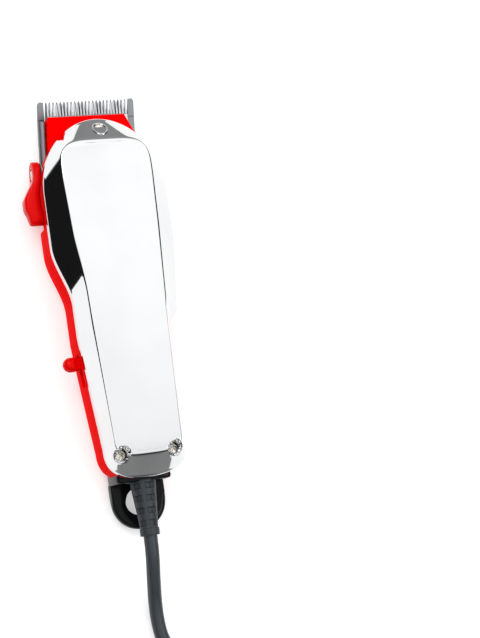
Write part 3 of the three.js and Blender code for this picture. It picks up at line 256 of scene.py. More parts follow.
# ---------------------------------------------------------------- cord
# Round two-core lead in a black-grey PVC jacket, about 1.8 m. It sinks from the strain relief to
# the table, then lies in a round coil of two layers, and its end crosses the coil into the plug.
CORD_RADIUS = 3.1
CORD_EXIT = (0.0, -109.6, 18.0)
CORD_ROUTE = [
    (0, -118, 16.8), (0.3, -128, 12.2), (0.9, -138, 7), (1.5, -147, 4.6),
    (2.9, -155.2, 4.1), (6.7, -162.6, 4.1),
]
CORD_END_ROUTE = [(46.1, -229.4, 16.9), (40.1, -236.6, 17.2), (31.9, -241.3, 19.2), (22.7, -242.9, 21.3)]
COIL_CENTRE = np.array([2.3, -215.9])
COIL_OUTER = 47.4
COIL_INNER = 25.0
COIL_TURNS = 7.194
COIL_START = radians(70)
LAYER_Z = (4.05, 10.25)


def smooth_step(value, low, high):
    """0 below low, 1 above high, and the cubic 3t² − 2t³ between."""
    share = np.clip((value - low) / (high - low), 0, 1)
    return share * share * (3 - 2 * share)


def coil_points():
    """Turns of the coil: radius falls evenly to the inner one and grows again, turning clockwise;
    height steps up a layer at the inner turn and starts to climb off the coil at the end."""
    turn = np.linspace(0, COIL_TURNS, int(COIL_TURNS * 24))
    half = COIL_TURNS / 2
    radius = COIL_INNER + (COIL_OUTER - COIL_INNER) * np.abs(turn - half) / half
    angle = COIL_START - 2 * pi * turn
    height = LAYER_Z[0] + (LAYER_Z[1] - LAYER_Z[0]) * smooth_step(turn, half - 0.35, half + 0.35)
    height += 4.6 * smooth_step(turn, COIL_TURNS - 0.15, COIL_TURNS + 0.03)
    return np.stack([COIL_CENTRE[0] + radius * np.cos(angle),
                     COIL_CENTRE[1] + radius * np.sin(angle), height], -1)


def smooth_path(points, steps):
    """Catmull-Rom curve through the points: each span is a cubic that leaves along the line
    between its neighbours."""
    points = np.asarray(points, float)
    padded = np.concatenate([2 * points[:1] - points[1:2], points, 2 * points[-1:] - points[-2:-1]])
    p0, p1, p2, p3 = (padded[k:len(padded) - 3 + k, None] for k in range(4))
    t = (np.arange(steps) / steps)[None, :, None]
    curve = 0.5 * (2 * p1 + (p2 - p0) * t + (2 * p0 - 5 * p1 + 4 * p2 - p3) * t ** 2
                   + (3 * p1 - p0 - 3 * p2 + p3) * t ** 3)
    return np.concatenate([curve.reshape(-1, 3), points[-1:]])


def along_path(path, outline):
    """Section outline (points by 2) carried along a path: first axis sideways, second axis up, both
    square to the path's direction."""
    ahead = np.gradient(path, axis=0)
    ahead /= np.linalg.norm(ahead, axis=1)[:, None]
    up = np.array([0, 0, 1.0]) - ahead[:, 2:] * ahead
    up /= np.linalg.norm(up, axis=1)[:, None]
    side = np.cross(ahead, up)
    return path[:, None] + outline[None, :, :1] * side[:, None] + outline[None, :, 1:] * up[:, None]


def circle(radius, count):
    angle = np.arange(count) * 2 * pi / count
    return radius * np.stack([np.cos(angle), np.sin(angle)], -1)


def tube(path, radius, count=16):
    """Round tube along a path, its two ends closed by flat faces."""
    points = along_path(path, circle(radius, count))
    vertices, faces = sheet(points, closed=True)
    last = len(vertices) - count
    return vertices, faces + [list(range(count))[::-1], list(range(last, last + count))]


def rubber_finish(name, dark, light, roughness, grain):
    """Matt rubber or PVC: a fine leathery grain, cloudy tone and rubbed, shinier patches."""
    material, shader, place = new_finish(name, Specular_IOR_Level=0.42)
    cloud = place.noise(60.0)
    fine = place.noise(2600.0, 2.0)
    rubbed = place.noise(190.0).step(0.52, 0.72)
    feed(shader, Base_Color=(cloud * 0.6 + fine * 0.4).mix((*dark, 1), (*light, 1)),
         Roughness=roughness + fine * 0.1 - rubbed * 0.12,
         Normal=relief_bump(fine, grain))
    return material


arc_turn = np.radians(np.arange(36, 70, 9))
lead_in = np.stack([27.5 - 26 * np.cos(arc_turn), -147 - 26 * np.sin(arc_turn), 0 * arc_turn + 4.05], -1)
cord_path = smooth_path(np.concatenate([[(0, -108.9, 18), CORD_EXIT], CORD_ROUTE, lead_in, coil_points(),
                                        CORD_END_ROUTE, [(21.7, -242.9, 21.3)]]), 4)
cord_finish = rubber_finish("cord_jacket", (0.016, 0.021, 0.027), (0.024, 0.031, 0.038), 0.42, 0.02)
cord = make_piece("cord", [tube(cord_path, CORD_RADIUS)], cord_finish)
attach(cord, "casing")
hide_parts("cord_run", "cord_coil", "cord_end")


# ---------------------------------------------------------------- plug and tie
# Two-pin plug, moulded on to the cord in one shot with a ribbed grip, and a flat tie round the coil.
def superellipse(half_width, half_height, power, count):
    """|x/a|^p + |y/b|^p = 1, walked by angle: rounded rectangle for a high power."""
    angle = np.arange(count) * 2 * pi / count
    cosine, sine = np.cos(angle), np.sin(angle)
    return np.stack([half_width * np.sign(cosine) * np.abs(cosine) ** (2 / power),
                     half_height * np.sign(sine) * np.abs(sine) ** (2 / power)], -1)


def rings_body(rings):
    """Closed body skinned over rings of points, its first and last ring filled."""
    count = rings.shape[1]
    vertices, faces = sheet(rings, closed=True)
    last = len(vertices) - count
    return vertices, faces + [list(range(count))[::-1], list(range(last, last + count))]


def plug_rings():
    """Sections across X from the nose to the pin face: a sleeve with grip grooves that swells into
    a flat shell. Station table: distance, half width, half thickness, squareness."""
    low, high = (np.array(corner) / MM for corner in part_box("plug_body"))
    stations = np.array([
        [0, 3.9, 3.9, 2], [0.5, 4.2, 4.2, 2], [17, 5.1, 5.1, 2], [18.5, 6.2, 5.8, 2.4],
        [22, 9.2, 6.9, 3], [27, 11.2, 7.4, 3.6], [33, 11.9, 7.5, 4], [42.8, 11.9, 7.5, 4.4],
        [43.7, 11.5, 7.1, 4.4], [44, 10.9, 6.5, 4.4]])
    at = np.linspace(0, 44, 177)
    wide, thick, power = (np.interp(at, stations[:, 0], stations[:, k]) for k in (1, 2, 3))
    sleeve = smooth_step(at, 2, 3) * (1 - smooth_step(at, 14, 15))
    groove = 0.55 * sleeve * smooth_step(np.cos(2 * pi * at / 3.2), -0.2, 0.5)
    middle = (low + high) / 2
    rings = []
    for distance, half_width, half_height, squareness in zip(at, wide - groove, thick - groove, power):
        outline = superellipse(half_width, half_height, squareness, 48)
        rings.append(np.stack([0 * outline[:, 0] + high[0] - distance,
                               middle[1] + outline[:, 0], middle[2] + outline[:, 1]], -1))
    return np.array(rings)


plug_finish = rubber_finish("plug_pvc", (0.014, 0.018, 0.022), (0.022, 0.027, 0.032), 0.4, 0.03)
plug = make_piece("plug", [rings_body(plug_rings())], plug_finish)
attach(plug, "casing")
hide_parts("plug_body")


def metal_finish(name, dark, light, roughness, grain_scale, streak=(1, 1, 1), grain=0.004, smear=0.08):
    """Bare or plated metal: grinding lines stretched by the streak factors, and a faint smear of
    handling that changes the gloss."""
    material, shader, place = new_finish(name, Metallic=1.0)
    stretched = place.node("Mapping", None, {"Vector": place, "Scale": streak})
    lines = stretched.noise(grain_scale, 4.0, 0.6)
    smears = place.noise(90.0)
    feed(shader, Base_Color=(lines * 0.5 + smears * 0.5).mix((*dark, 1), (*light, 1)),
         Roughness=roughness + smears * smear + lines * 0.05,
         Normal=relief_bump(lines, grain))
    return material


brass_finish = metal_finish("brass", (0.50, 0.33, 0.11), (0.72, 0.52, 0.22), 0.2, 900.0, (1, 6, 6))


def pin_blade(side):
    """Flat pin: a rounded bar that narrows at its tip."""
    node = "plug_blade_left" if side < 0 else "plug_blade_right"
    low, high = (np.array(corner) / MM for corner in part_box(node))
    length = high[0] - low[0]
    at = np.concatenate([[0, 0.3], np.linspace(0.8, length - 3, 12), length - np.array([1.6, 0.7, 0.2, 0])])
    taper = np.interp(at, [0, 0.3, length - 3, length - 1.6, length - 0.7, length],
                      [0.93, 1, 1, 0.93, 0.8, 0.62])
    middle = (low + high) / 2
    rings = np.array([np.stack([
        0 * outline[:, 0] + high[0] - distance, middle[1] + outline[:, 0], middle[2] + outline[:, 1]], -1)
        for distance, outline in zip(at, (
            superellipse((high[1] - low[1]) / 2 * min(1, share + 0.1), (high[2] - low[2]) / 2 * share, 6, 32)
            for share in taper))])
    piece = make_piece("plug_pin_left" if side < 0 else "plug_pin_right", [rings_body(rings)], brass_finish)
    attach(piece, "casing")
    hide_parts(node)
    return piece


pins = [pin_blade(-1), pin_blade(1)]


def tie_band():
    """Flat strap bent round the coil's section: a closed rounded rectangle, thin and narrow."""
    low, high = (np.array(corner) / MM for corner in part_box("cord_coil"))
    angle = radians(150)
    outward = np.array([np.cos(angle), np.sin(angle), 0])
    across = np.array([-np.sin(angle), np.cos(angle), 0])
    middle = np.array([*COIL_CENTRE, (low[2] + high[2]) / 2]) + outward * 36.0
    wall = []
    for grow, half in ((0.35, 2.4), (0.9, 2.4), (0.9, -2.4), (0.35, -2.4)):
        outline = superellipse(14.7 + grow, 6.25 + grow, 5, 96)
        wall.append(middle + outline[:, :1] * outward + outline[:, 1:] * [0, 0, 1] + half * across)
    return sheet(np.array(wall + wall[:1]), closed=True)


def strap_finish():
    material, shader, place = new_finish("tie_plastic", Specular_IOR_Level=0.4)
    ribs = place.node("TexWave", {"bands_direction": "Z"}, {"Vector": place, "Scale": 260.0})
    feed(shader, Base_Color=place.noise(300.0).mix((0.01, 0.011, 0.012, 1), (0.02, 0.021, 0.023, 1)),
         Roughness=0.42 + place.noise(900.0) * 0.15, Normal=relief_bump(ribs, 0.05))
    return material


tie = make_piece("coil_tie", [tie_band()], strap_finish())
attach(tie, "casing")
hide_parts("cord_tie")


# ---------------------------------------------------------------- strain relief
# Tapered sleeve of soft black PVC over the cord where it leaves the tail. Four rows of windows let
# it bend, and a collar finishes its end. Its flange sits inside the casing.
RELIEF_AXIS_Z = 18.0
RELIEF_RIB_ANGLE = radians(108)


def comb(value, middle, half, edge):
    """1 within half of the middle, 0 outside, with edges that the given width softens."""
    return smooth_step(half - np.abs(value - middle), -edge / 2, edge / 2)


def relief_grid():
    """Body of revolution about Y. Its radius tapers evenly, and a window 1.2 deep is sunk where a
    comb along the cord and a comb round it are both up."""
    low, high = (np.array(corner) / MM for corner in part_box("strain_relief"))
    end, inside = low[1], high[1]
    mouth = inside - 6.6
    taper = np.linspace(mouth - 1.2, end + 3.5, 170)
    profile = np.concatenate([
        [(3.4, inside), (7.0, inside), (7.0, inside - 3), (4.8, inside - 3), (4.8, mouth), (5.5, mouth),
         (5.8, mouth - 0.3)],
        np.stack([5.8 + (4.0 - 5.8) * (taper - taper[0]) / (taper[-1] - taper[0]), taper], -1),
        [(4.05, end + 3.3), (4.4, end + 3.1), (4.4, end + 0.3), (4.2, end + 0.05), (3.9, end),
         (3.4, end), (3.4, inside)]])
    turn = np.linspace(0, 2 * pi, 145)
    radius = np.repeat(profile[:, :1], len(turn), axis=1)
    y = profile[:, 1:]
    rows = sum(comb(y, mouth - 3.0 - 5.45 * row, 1.25, 0.3) for row in range(4))
    fold = np.abs((turn - RELIEF_RIB_ANGLE + pi / 2) % pi - pi / 2)
    windows = comb(fold, radians(36), radians(23), radians(4))[None, :]
    on_taper = ((y < mouth - 1) & (y > end + 3.4)) & (radius > 3.9)
    radius = radius - 1.2 * rows * windows * on_taper
    return sheet(np.stack([radius * np.cos(turn), y + 0 * radius,
                           RELIEF_AXIS_Z + radius * np.sin(turn)], -1))


relief_finish = rubber_finish("relief_rubber", (0.013, 0.017, 0.021), (0.021, 0.026, 0.031), 0.48, 0.03)
relief = make_piece("relief_sleeve", [relief_grid()], relief_finish, sharp=50)
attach(relief, "casing")
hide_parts("strain_relief")


# ---------------------------------------------------------------- hanging loop
# Glossy black loop that the clipper hangs from, moulded with the tail block behind the cover. Its
# tongue is held between the casing halves.
def gloss_plastic(name, dark, light, roughness, coat=0.3, shine=0.35):
    """Injection-moulded plastic: even colour with a faint flow cloud, orange-peel bump and hairline
    scuffs that dull the gloss."""
    material, shader, place = new_finish(name, Coat_Weight=coat, Coat_Roughness=0.06,
                                         Specular_IOR_Level=shine)
    cloud = place.noise(28.0)
    peel = place.noise(420.0, 2.0)
    scuffs = place.node("Mapping", None, {"Vector": place, "Scale": (1.0, 0.08, 0.6)}).noise(1500.0)
    feed(shader, Base_Color=cloud.mix((*dark, 1), (*light, 1)),
         Roughness=roughness + 0.12 * scuffs.step(0.6, 0.8) + cloud * 0.04,
         Normal=relief_bump(peel, 0.012))
    return material


def loop_grid():
    """Ring round the hole. Its outer edge is a circle behind the middle and a block in front of it,
    and its section is a superellipse, round on the loop and squarer on the block."""
    low, high = (np.array(corner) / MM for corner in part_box("hanging_loop"))
    middle_y = low[1] + 12.5
    block_reach = -84.3 - middle_y
    turn = np.linspace(0, 2 * pi, 241)
    with np.errstate(divide="ignore"):
        outer = np.where(np.sin(turn) > 0, np.minimum(12.5 / np.abs(np.cos(turn)),
                                                      block_reach / np.abs(np.sin(turn))), 12.5)
    hole = 6.0
    power = 2.6 + 3.0 * smooth_step(np.sin(turn), -0.15, 0.35)[:, None]
    sweep = np.linspace(0, 2 * pi, 49)[None, :]
    across = np.sign(np.cos(sweep)) * np.abs(np.cos(sweep)) ** (2 / power)
    height = np.sign(np.sin(sweep)) * np.abs(np.sin(sweep)) ** (2 / power)
    reach = (outer[:, None] + hole) / 2 + (outer[:, None] - hole) / 2 * across
    middle_z, half_z = (low[2] + high[2]) / 2, (high[2] - low[2]) / 2
    return sheet(np.stack([reach * np.cos(turn)[:, None], middle_y + reach * np.sin(turn)[:, None],
                           middle_z + half_z * height], -1))


def rounded_block(x, y, z, power=6):
    """Block with soft edges: superellipse sections across X and Z, drawn in at its two ends in Y."""
    at = np.array([0, 0.15, 0.5, 1.2])
    ease = np.array([0.80, 0.92, 0.98, 1.0])
    depth = min(1.0, (y[1] - y[0]) / 2.6)
    ends = np.concatenate([y[0] + at * depth, y[1] - at[::-1] * depth])
    size = np.concatenate([ease, ease[::-1]])
    outline = superellipse((x[1] - x[0]) / 2, (z[1] - z[0]) / 2, power, 40)
    return rings_body(np.stack([
        np.stack([(x[0] + x[1]) / 2 + outline[:, 0] * share, 0 * outline[:, 0] + end,
                  (z[0] + z[1]) / 2 + outline[:, 1] * share], -1) for end, share in zip(ends, size)]))


loop_finish = gloss_plastic("loop_black", (0.003, 0.0035, 0.004), (0.005, 0.0055, 0.006), 0.12, 0.0, 0.10)
loop = make_piece("hang_loop", [
    loop_grid(), rounded_block((-8, 8), (-85.4, -77.5), (4.3, 7.8)),
    rounded_block((-12.6, 12.6), (-85.4, -79.0), (3.4, 23.4), power=9),
], loop_finish, sharp=50)
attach(loop, "casing")
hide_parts("hanging_loop")


# ---------------------------------------------------------------- lower housing
# Red ABS shell that holds the motor, with the head deck over the blades. One injection moulding:
# rounded belly, upright sides, a flat recess for the lever and a slot for the switch.
RIM_Z = 24.0
GAP = 0.3
HEAD_ARC_Y, HEAD_APEX_Y = 46.0, 80.0
TAIL_ARC_Y, TAIL_END_Y = -70.0, -84.0
HOUSING_WALL = 2.4
ARC_STEPS = 36
SIDE_STEPS = 132


def left_half(y):
    """Half width on the left: the tail's taper up to the waist, then the shoulder's smooth step."""
    waist = 17.6 + 4.4 * np.clip((y - TAIL_ARC_Y) / 50, 0, 1)
    return waist + (28.5 - waist) * smooth_step(y, -5, 22)


def right_half(y):
    """Half width on the right: the tail, a short smooth step, then an even swell to full width."""
    return 20 + 5.2 * smooth_step(y, -19, -9.5) + 3.3 * np.clip((y + 9.5) / 31.5, 0, 1)


def outline(left, right, head_y, apex_y, tail_y, end_y, head_power, tail_power):
    """Closed outline seen from above, anticlockwise from the tail's middle. Each end is a quarter of
    a superellipse on each side, and the sides follow the half widths."""
    bend = np.arange(ARC_STEPS) / ARC_STEPS * pi / 2

    def side(half):
        tail = pi / 2 - bend
        run = np.linspace(tail_y, head_y, SIDE_STEPS + 1)
        head = np.append(bend[1:], pi / 2)
        x = np.concatenate([half(tail_y) * np.cos(tail) ** (2 / tail_power), half(run),
                            half(head_y) * np.clip(np.cos(head), 0, 1) ** (2 / head_power)])
        y = np.concatenate([tail_y + (end_y - tail_y) * np.sin(tail) ** (2 / tail_power), run,
                            head_y + (apex_y - head_y) * np.sin(head) ** (2 / head_power)])
        x[0] = x[-1] = 0
        return np.stack([x, y], -1)

    return np.concatenate([side(right), (side(left) * [-1, 1])[-2:0:-1]])


def rim_outline(inset):
    inset = float(inset)
    return outline(lambda y: left_half(np.asarray(y)) - inset, lambda y: right_half(np.asarray(y)) - inset,
                   HEAD_ARC_Y, HEAD_APEX_Y - inset, TAIL_ARC_Y, TAIL_END_Y + inset, 2, 2.6)


def belly_z(y):
    """Underside: flat in the middle, rising as a square towards the blades and the tail."""
    return 5 * (np.maximum(y - 25, 0) / 39) ** 2 + 2.4 * (np.maximum(-45 - y, 0) / 39) ** 2


def filled(ring, columns, crown=0.0):
    """Grid that fills an outline from its left stations to its right ones, raised by a crown that
    falls as a square to nothing at both sides."""
    half = len(ring) // 2
    right = ring[:half + 1]
    left = np.roll(ring[::-1], 1, axis=0)[:half + 1]
    share = np.linspace(0, 1, columns)[None, :, None]
    grid = left[:, None] * (1 - share) + right[:, None] * share
    grid[..., 2] += crown * (1 - (2 * share[..., 0] - 1) ** 2) * np.sin(
        np.linspace(0, pi, half + 1))[:, None] ** 0.5
    return grid


def housing_skin(inset, top_z, levels):
    """Rings of the shell: an elliptic curl from the belly into the upright sides."""
    height = 12 * (1 - np.cos(np.linspace(0, pi / 2, levels)))
    curl = 8.5 * (1 - np.sqrt(np.clip(1 - (1 - height / 12) ** 2.2, 0, 1)))
    rings = []
    for rise, shrink in zip(np.append(height, RIM_Z * 0.8), np.append(curl, 0)):
        ring = rim_outline(shrink + inset)
        base = belly_z(ring[:, 1]) + inset
        rings.append(np.column_stack([ring, base + rise * (RIM_Z - base) / RIM_Z]))
    last = rim_outline(inset)
    rings.append(np.column_stack([last, 0 * last[:, 0] + top_z]))
    return np.array(rings)


def flipped(patch):
    vertices, faces = patch
    return vertices, [face[::-1] for face in faces]


def prism(shape, low, high, axes="xyz"):
    """Flat outline raised between two heights, with axes naming where its three directions point."""
    shape = np.asarray(shape, float)
    order = ["xyz".index(axis) for axis in axes]
    levels = np.stack([np.column_stack([shape, np.full(len(shape), height)]) for height in (low, high)])
    turned = np.empty_like(levels)
    turned[..., order] = levels
    return rings_body(turned)


def box_outline(a0, a1, b0, b1):
    return [(a0, b0), (a1, b0), (a1, b1), (a0, b1)]


def carve(piece, patches, operation="DIFFERENCE"):
    """Cuts closed bodies out of a piece, or joins them to it, with an exact boolean each."""
    for patch in patches:
        tool = make_piece("tool", [patch], piece.data.materials[0])
        modifier = piece.modifiers.new("cut", "BOOLEAN")
        modifier.operation = operation
        modifier.solver = "EXACT"
        modifier.object = tool
        bpy.context.view_layer.objects.active = piece
        bpy.ops.object.modifier_apply(modifier=modifier.name)
        bpy.data.objects.remove(tool)
    piece.data.shade_smooth()
    piece.data.set_sharp_from_angle(angle=radians(32))


BLADE_TILT = radians(20)
BLADE_TIP = np.array([93.0, 15.5])


def on_blade(points):
    """Blade frame to the clipper's: x, distance behind the tips, height over the cutting plane."""
    x, behind, height = np.moveaxis(np.asarray(points, float), -1, 0)
    cosine, sine = np.cos(BLADE_TILT), np.sin(BLADE_TILT)
    return np.stack([x, BLADE_TIP[0] - behind * cosine - height * sine,
                     BLADE_TIP[1] - behind * sine + height * cosine], -1)


def lay_on_blade(patch):
    return on_blade(patch[0]), patch[1]


HEAD_HALF = 20.95
RECESS_X = -25.0
PIVOT_Y, PIVOT_Z = 59.0, 13.0
SWITCH_Y, SWITCH_Z = -30.0, 18.3
DECK_FRONT_Y = 83.0
DECK_UNDER_Z = 20.2


def deck_body():
    """Walls of the head under a wider deck plate. The plate tapers to the front on its left, has a
    long chamfer at its right front corner, and its top edge is eased."""
    def ring(side, front_left, z, ease):
        shape = np.array([
            (-side, 56), (side, 56), (side, DECK_FRONT_Y - 14), (side - 4.2, DECK_FRONT_Y - 8),
            (side - 7.6, DECK_FRONT_Y), (-front_left, DECK_FRONT_Y), (-side, DECK_FRONT_Y - 13)])
        middle = shape.mean(axis=0)
        span = np.abs(shape - middle).max(axis=0)
        return np.column_stack([middle + (shape - middle) * (1 - ease / span), np.full(len(shape), z)])
    narrow, wide = HEAD_HALF + 0.3, HEAD_HALF + 1.6
    return rings_body(np.array([
        ring(narrow, HEAD_HALF, belly_z(56.0) + GAP, 0), ring(narrow, HEAD_HALF, 21.9, 0),
        ring(wide, HEAD_HALF, 22.0, 0.2), ring(wide, HEAD_HALF, 22.2, 0), ring(wide, HEAD_HALF, 23.1, 0),
        ring(wide, HEAD_HALF, 23.5, 0.15), ring(wide, HEAD_HALF, RIM_Z - GAP, 0.55)]))


red_finish = gloss_plastic("shell_red", (0.86, 0.0003, 0.0005), (0.92, 0.0004, 0.0007), 0.16, 0.0, 0.001)
outer_skin = housing_skin(0, RIM_Z - GAP, 14)
inner_skin = housing_skin(HOUSING_WALL, RIM_Z - GAP, 6)
housing = make_piece("housing_shell", [
    sheet(outer_skin, closed=True), flipped(sheet(filled(outer_skin[0], 24))),
    flipped(sheet(inner_skin, closed=True)), sheet(filled(inner_skin[0], 12)),
    sheet(np.array([outer_skin[-1], inner_skin[-1]]), closed=True),
], red_finish)
carve(housing, [deck_body()], "UNION")
carve(housing, [
    prism(box_outline(-HEAD_HALF, HEAD_HALF, 54, 66.9), 5.6, DECK_UNDER_Z),
    prism([(PIVOT_Y - 5, DECK_UNDER_Z), (64, -4), (110, 6), (110, DECK_UNDER_Z)],
          -HEAD_HALF, HEAD_HALF, "yzx"),
    lay_on_blade(prism(box_outline(-25, 25, -20, 29.6), -30, GAP)),
    prism(box_outline(32.5, 120, -10, RIM_Z - 2.2), -60, RECESS_X, "yzx"),
    prism(box_outline(SWITCH_Y - 10.5, SWITCH_Y + 4, SWITCH_Z - 2.3, SWITCH_Z + 2.3), -60, -16, "yzx"),
    prism(circle(3.3, 48) + [PIVOT_Y, PIVOT_Z], -60, -20, "yzx"),
    prism(circle(2.3, 48) + [52, 17], 15, 60, "yzx"),
    prism(circle(5.1, 48) + [18, 0], -89, -80, "zxy"),
    prism(box_outline(18, 40, -5.1, 5.1), -89, -80, "zxy"),
    prism(box_outline(4.0, 8.1, -8.3, 8.3), -89, -77, "zxy"),
])
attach(housing, "casing")
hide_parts("lower_housing")


# ---------------------------------------------------------------- cover
# Die-cast zinc lid, ground, polished and chromed: an upright rim, facets that lean in to a flat
# panel, and three screw wells with rolled lips. A notch in its rim clears the switch.
COVER_WALL = 1.5
FACET_FOOT, FACET_TOP = 0.05, 0.82


def panel_outline():
    """Edge of the flat panel: it narrows from the head to the tail, with squarish ends."""
    def half(full):
        return lambda y: np.where(np.asarray(y) > 0, 17 + (full - 17) * np.asarray(y) / 60,
                                  17 + 2.4 * np.asarray(y) / 75)
    return outline(half(20.8), half(19.5), 52, 66, -65, -73, 6, 4)


def cover_rings():
    """Each level is a height over the joint and a share of the way from the rim to the panel: an
    upright edge, a quick turn inwards, a straight facet and a roll on to the panel."""
    rim, panel = rim_outline(0), panel_outline()
    turn_in = np.linspace(0, 1, 6)[1:]
    facet = np.linspace(0, 1, 13)[1:-1]
    roll = np.linspace(0, 1, 9)
    levels = np.concatenate([
        [(0, 0), (0.35, 0), (1.3, 0), (2.8, 0)],
        np.stack([2.8 + 0.85 * turn_in, FACET_FOOT * turn_in ** 2], -1),
        np.stack([3.65 + 8.45 * facet, FACET_FOOT + (FACET_TOP - FACET_FOOT) * facet], -1),
        np.stack([13 - 0.9 * (1 - roll) ** 2.2, FACET_TOP + (1 - FACET_TOP) * roll], -1)])
    notch = 1.2 * comb(rim[:, 1], SWITCH_Y - 3.25, 8.2, 0.8) * (rim[:, 0] < 0)
    rings = []
    for rise, lean in levels:
        lift = notch * np.clip(1 - rise / 1.3, 0, 1)
        rings.append(np.column_stack([rim * (1 - lean) + panel * lean, RIM_Z + rise + lift]))
    return np.array(rings)


def well_plane(surface, x, y, radius):
    """Slopes in X and Y and the height at the middle of the plane that best fits a rim of the well."""
    flat = surface.reshape(-1, 3)
    near = flat[np.abs(np.hypot(flat[:, 0] - x, flat[:, 1] - y) - radius - 0.4) < 0.6]
    sides = np.column_stack([near[:, :2] - [x, y], np.ones(len(near))])
    return np.linalg.lstsq(sides, near[:, 2], rcond=None)[0]


def open_wells(patch, wells):
    """Clears round holes: faces wholly inside go, and corners left inside slide out to the circle
    along the plane that fits the lid there."""
    vertices, faces = patch[0].copy(), np.array(patch[1])
    for x, y, radius, (slope_x, slope_y, _) in wells:
        offset = vertices[:, :2] - [x, y]
        distance = np.linalg.norm(offset, axis=1)
        inside = distance < radius
        faces = faces[~inside[faces].all(axis=1)]
        push = offset[inside] * (radius / np.maximum(distance[inside, None], 1e-6) - 1)
        vertices[inside, :2] += push
        vertices[inside, 2] += push @ [slope_x, slope_y]
    return vertices, faces.tolist()


def well_patch(surface, x, y, radius, floor_z):
    """Ring that stands proud of the lid round a well. Its top is the plane that best fits the lid
    there, its outside runs down under the skin, and inside are the well's wall and holed floor."""
    turn = np.linspace(0, 2 * pi, 97)[:, None]
    slope = well_plane(surface, x, y, radius)
    roll = np.linspace(0, pi, 9)
    reach = np.concatenate([[radius + 0.6], radius + 0.3 + 0.3 * np.cos(roll), [radius, radius - 0.3, 1.8]])
    proud = np.concatenate([[-2.0], 0.25 + 0.3 * np.sin(roll), [0, 0, 0]])
    stands = np.array([1.0] * 10 + [0, 0, 0])
    top = slope[0] * reach * np.cos(turn) + slope[1] * reach * np.sin(turn) + slope[2]
    height = stands * (top + proud) + (1 - stands) * (floor_z + 0.3 * (np.arange(13) == 10))
    return sheet(np.stack([x + reach * np.cos(turn), y + reach * np.sin(turn), height], -1))


def chrome_finish():
    """Bright chrome over polished zinc: nearly a mirror, with soft polishing waves, a breath of haze
    and hairline wipe marks."""
    material, shader, place = new_finish("chrome", Metallic=1.0)
    waves = place.noise(22.0, 1.0)
    haze = place.noise(55.0)
    hairs = place.node("Mapping", None, {"Vector": place, "Rotation": (0, 0, 0.5),
                                         "Scale": (1.0, 0.03, 1.0)}).noise(2200.0, 2.0)
    feed(shader, Base_Color=haze.mix((0.62, 0.63, 0.64, 1), (0.68, 0.685, 0.69, 1)),
         Roughness=0.035 + haze * 0.04 + 0.05 * hairs.step(0.68, 0.8),
         Normal=relief_bump(waves, 0.02))
    return material


TAIL_SCREW = (12.0, -73.5)
HEAD_SCREW_Y = 73.8
WELL_FLOOR_Z = 29.2
wells = [(-TAIL_SCREW[0], TAIL_SCREW[1], 3.1), (TAIL_SCREW[0], TAIL_SCREW[1], 3.1), (0, HEAD_SCREW_Y, 2.9)]
cover_skin = cover_rings()
panel_grid = filled(cover_skin[-1], 56, crown=0.35)
lid_surface = np.concatenate([cover_skin.reshape(-1, 3), panel_grid.reshape(-1, 3)])
chrome = chrome_finish()
openings = [(x, y, radius + 0.35, well_plane(lid_surface, x, y, radius)) for x, y, radius in wells]
cover = make_piece("cover_lid", [open_wells(sheet(cover_skin, closed=True), openings),
                                 open_wells(sheet(panel_grid), openings)], chrome, sharp=60)
wall = cover.modifiers.new("wall", "SOLIDIFY")
wall.thickness = COVER_WALL * MM
wall.offset = -1
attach(cover, "casing")
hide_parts("top_cover")
rings = [well_patch(lid_surface, x, y, radius, WELL_FLOOR_Z) for x, y, radius in wells]
lips = make_piece("cover_wells", rings, chrome, sharp=50, outward=False)
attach(lips, "casing")


# ---------------------------------------------------------------- screws
# Nickel-plated pan-head screws with a cross recess, threaded into the plastic and the blade carrier.
def turned_screw(head, height, shank, length, slots=2, knurl=0.0, dome=0.35):
    """Screw along Z, its seat at zero. The face is a shallow dome with a cross or a slot sunk in it,
    and the thread is a saw tooth whose phase follows the angle."""
    sweep = np.linspace(0, 2 * pi, 73)[None, :]
    face = np.linspace(0, head - 0.3, 30)[:, None]
    u, v = face * np.cos(sweep + 0.6), face * np.sin(sweep + 0.6)
    arm, half = (head * 0.6, head * 0.14) if slots == 2 else (head * 2, head * 0.13)
    recess = comb(u, 0, half, 0.15) * comb(v, 0, arm, 0.3)
    if slots == 2:
        recess = np.maximum(recess, comb(v, 0, half, 0.15) * comb(u, 0, arm, 0.3))
    top = height - dome * (face / head) ** 2 - min(0.62 * height, 1.0) * recess
    rows = [np.stack([face + 0 * sweep, top], -1)]
    for radius, z in ((head - 0.1, height - dome - 0.06), (head, height - dome - 0.28), (head, 0.3),
                      (head - 0.2, 0.0), (shank + 0.25, 0.0), (shank, -0.25)):
        grip = knurl * np.abs(np.sin(20 * sweep)) if radius == head else 0 * sweep
        rows.append(np.stack([radius - grip, z + 0 * sweep], -1))
    thread_z = np.arange(-0.4, 1.0 - length, -0.11)[:, None]
    phase = (thread_z / 0.9 + sweep / (2 * pi)) % 1
    rows.append(np.stack([shank - 0.22 * np.abs(2 * phase - 1), thread_z + 0 * sweep], -1))
    rows += [np.stack([radius + 0 * sweep, z + 0 * sweep], -1) for radius, z in
             ((shank * 0.6, -length + 0.3), (0.0, -length))]
    radius, z = np.moveaxis(np.concatenate(rows), -1, 0)
    return np.stack([radius * np.cos(sweep), radius * np.sin(sweep), z], -1)


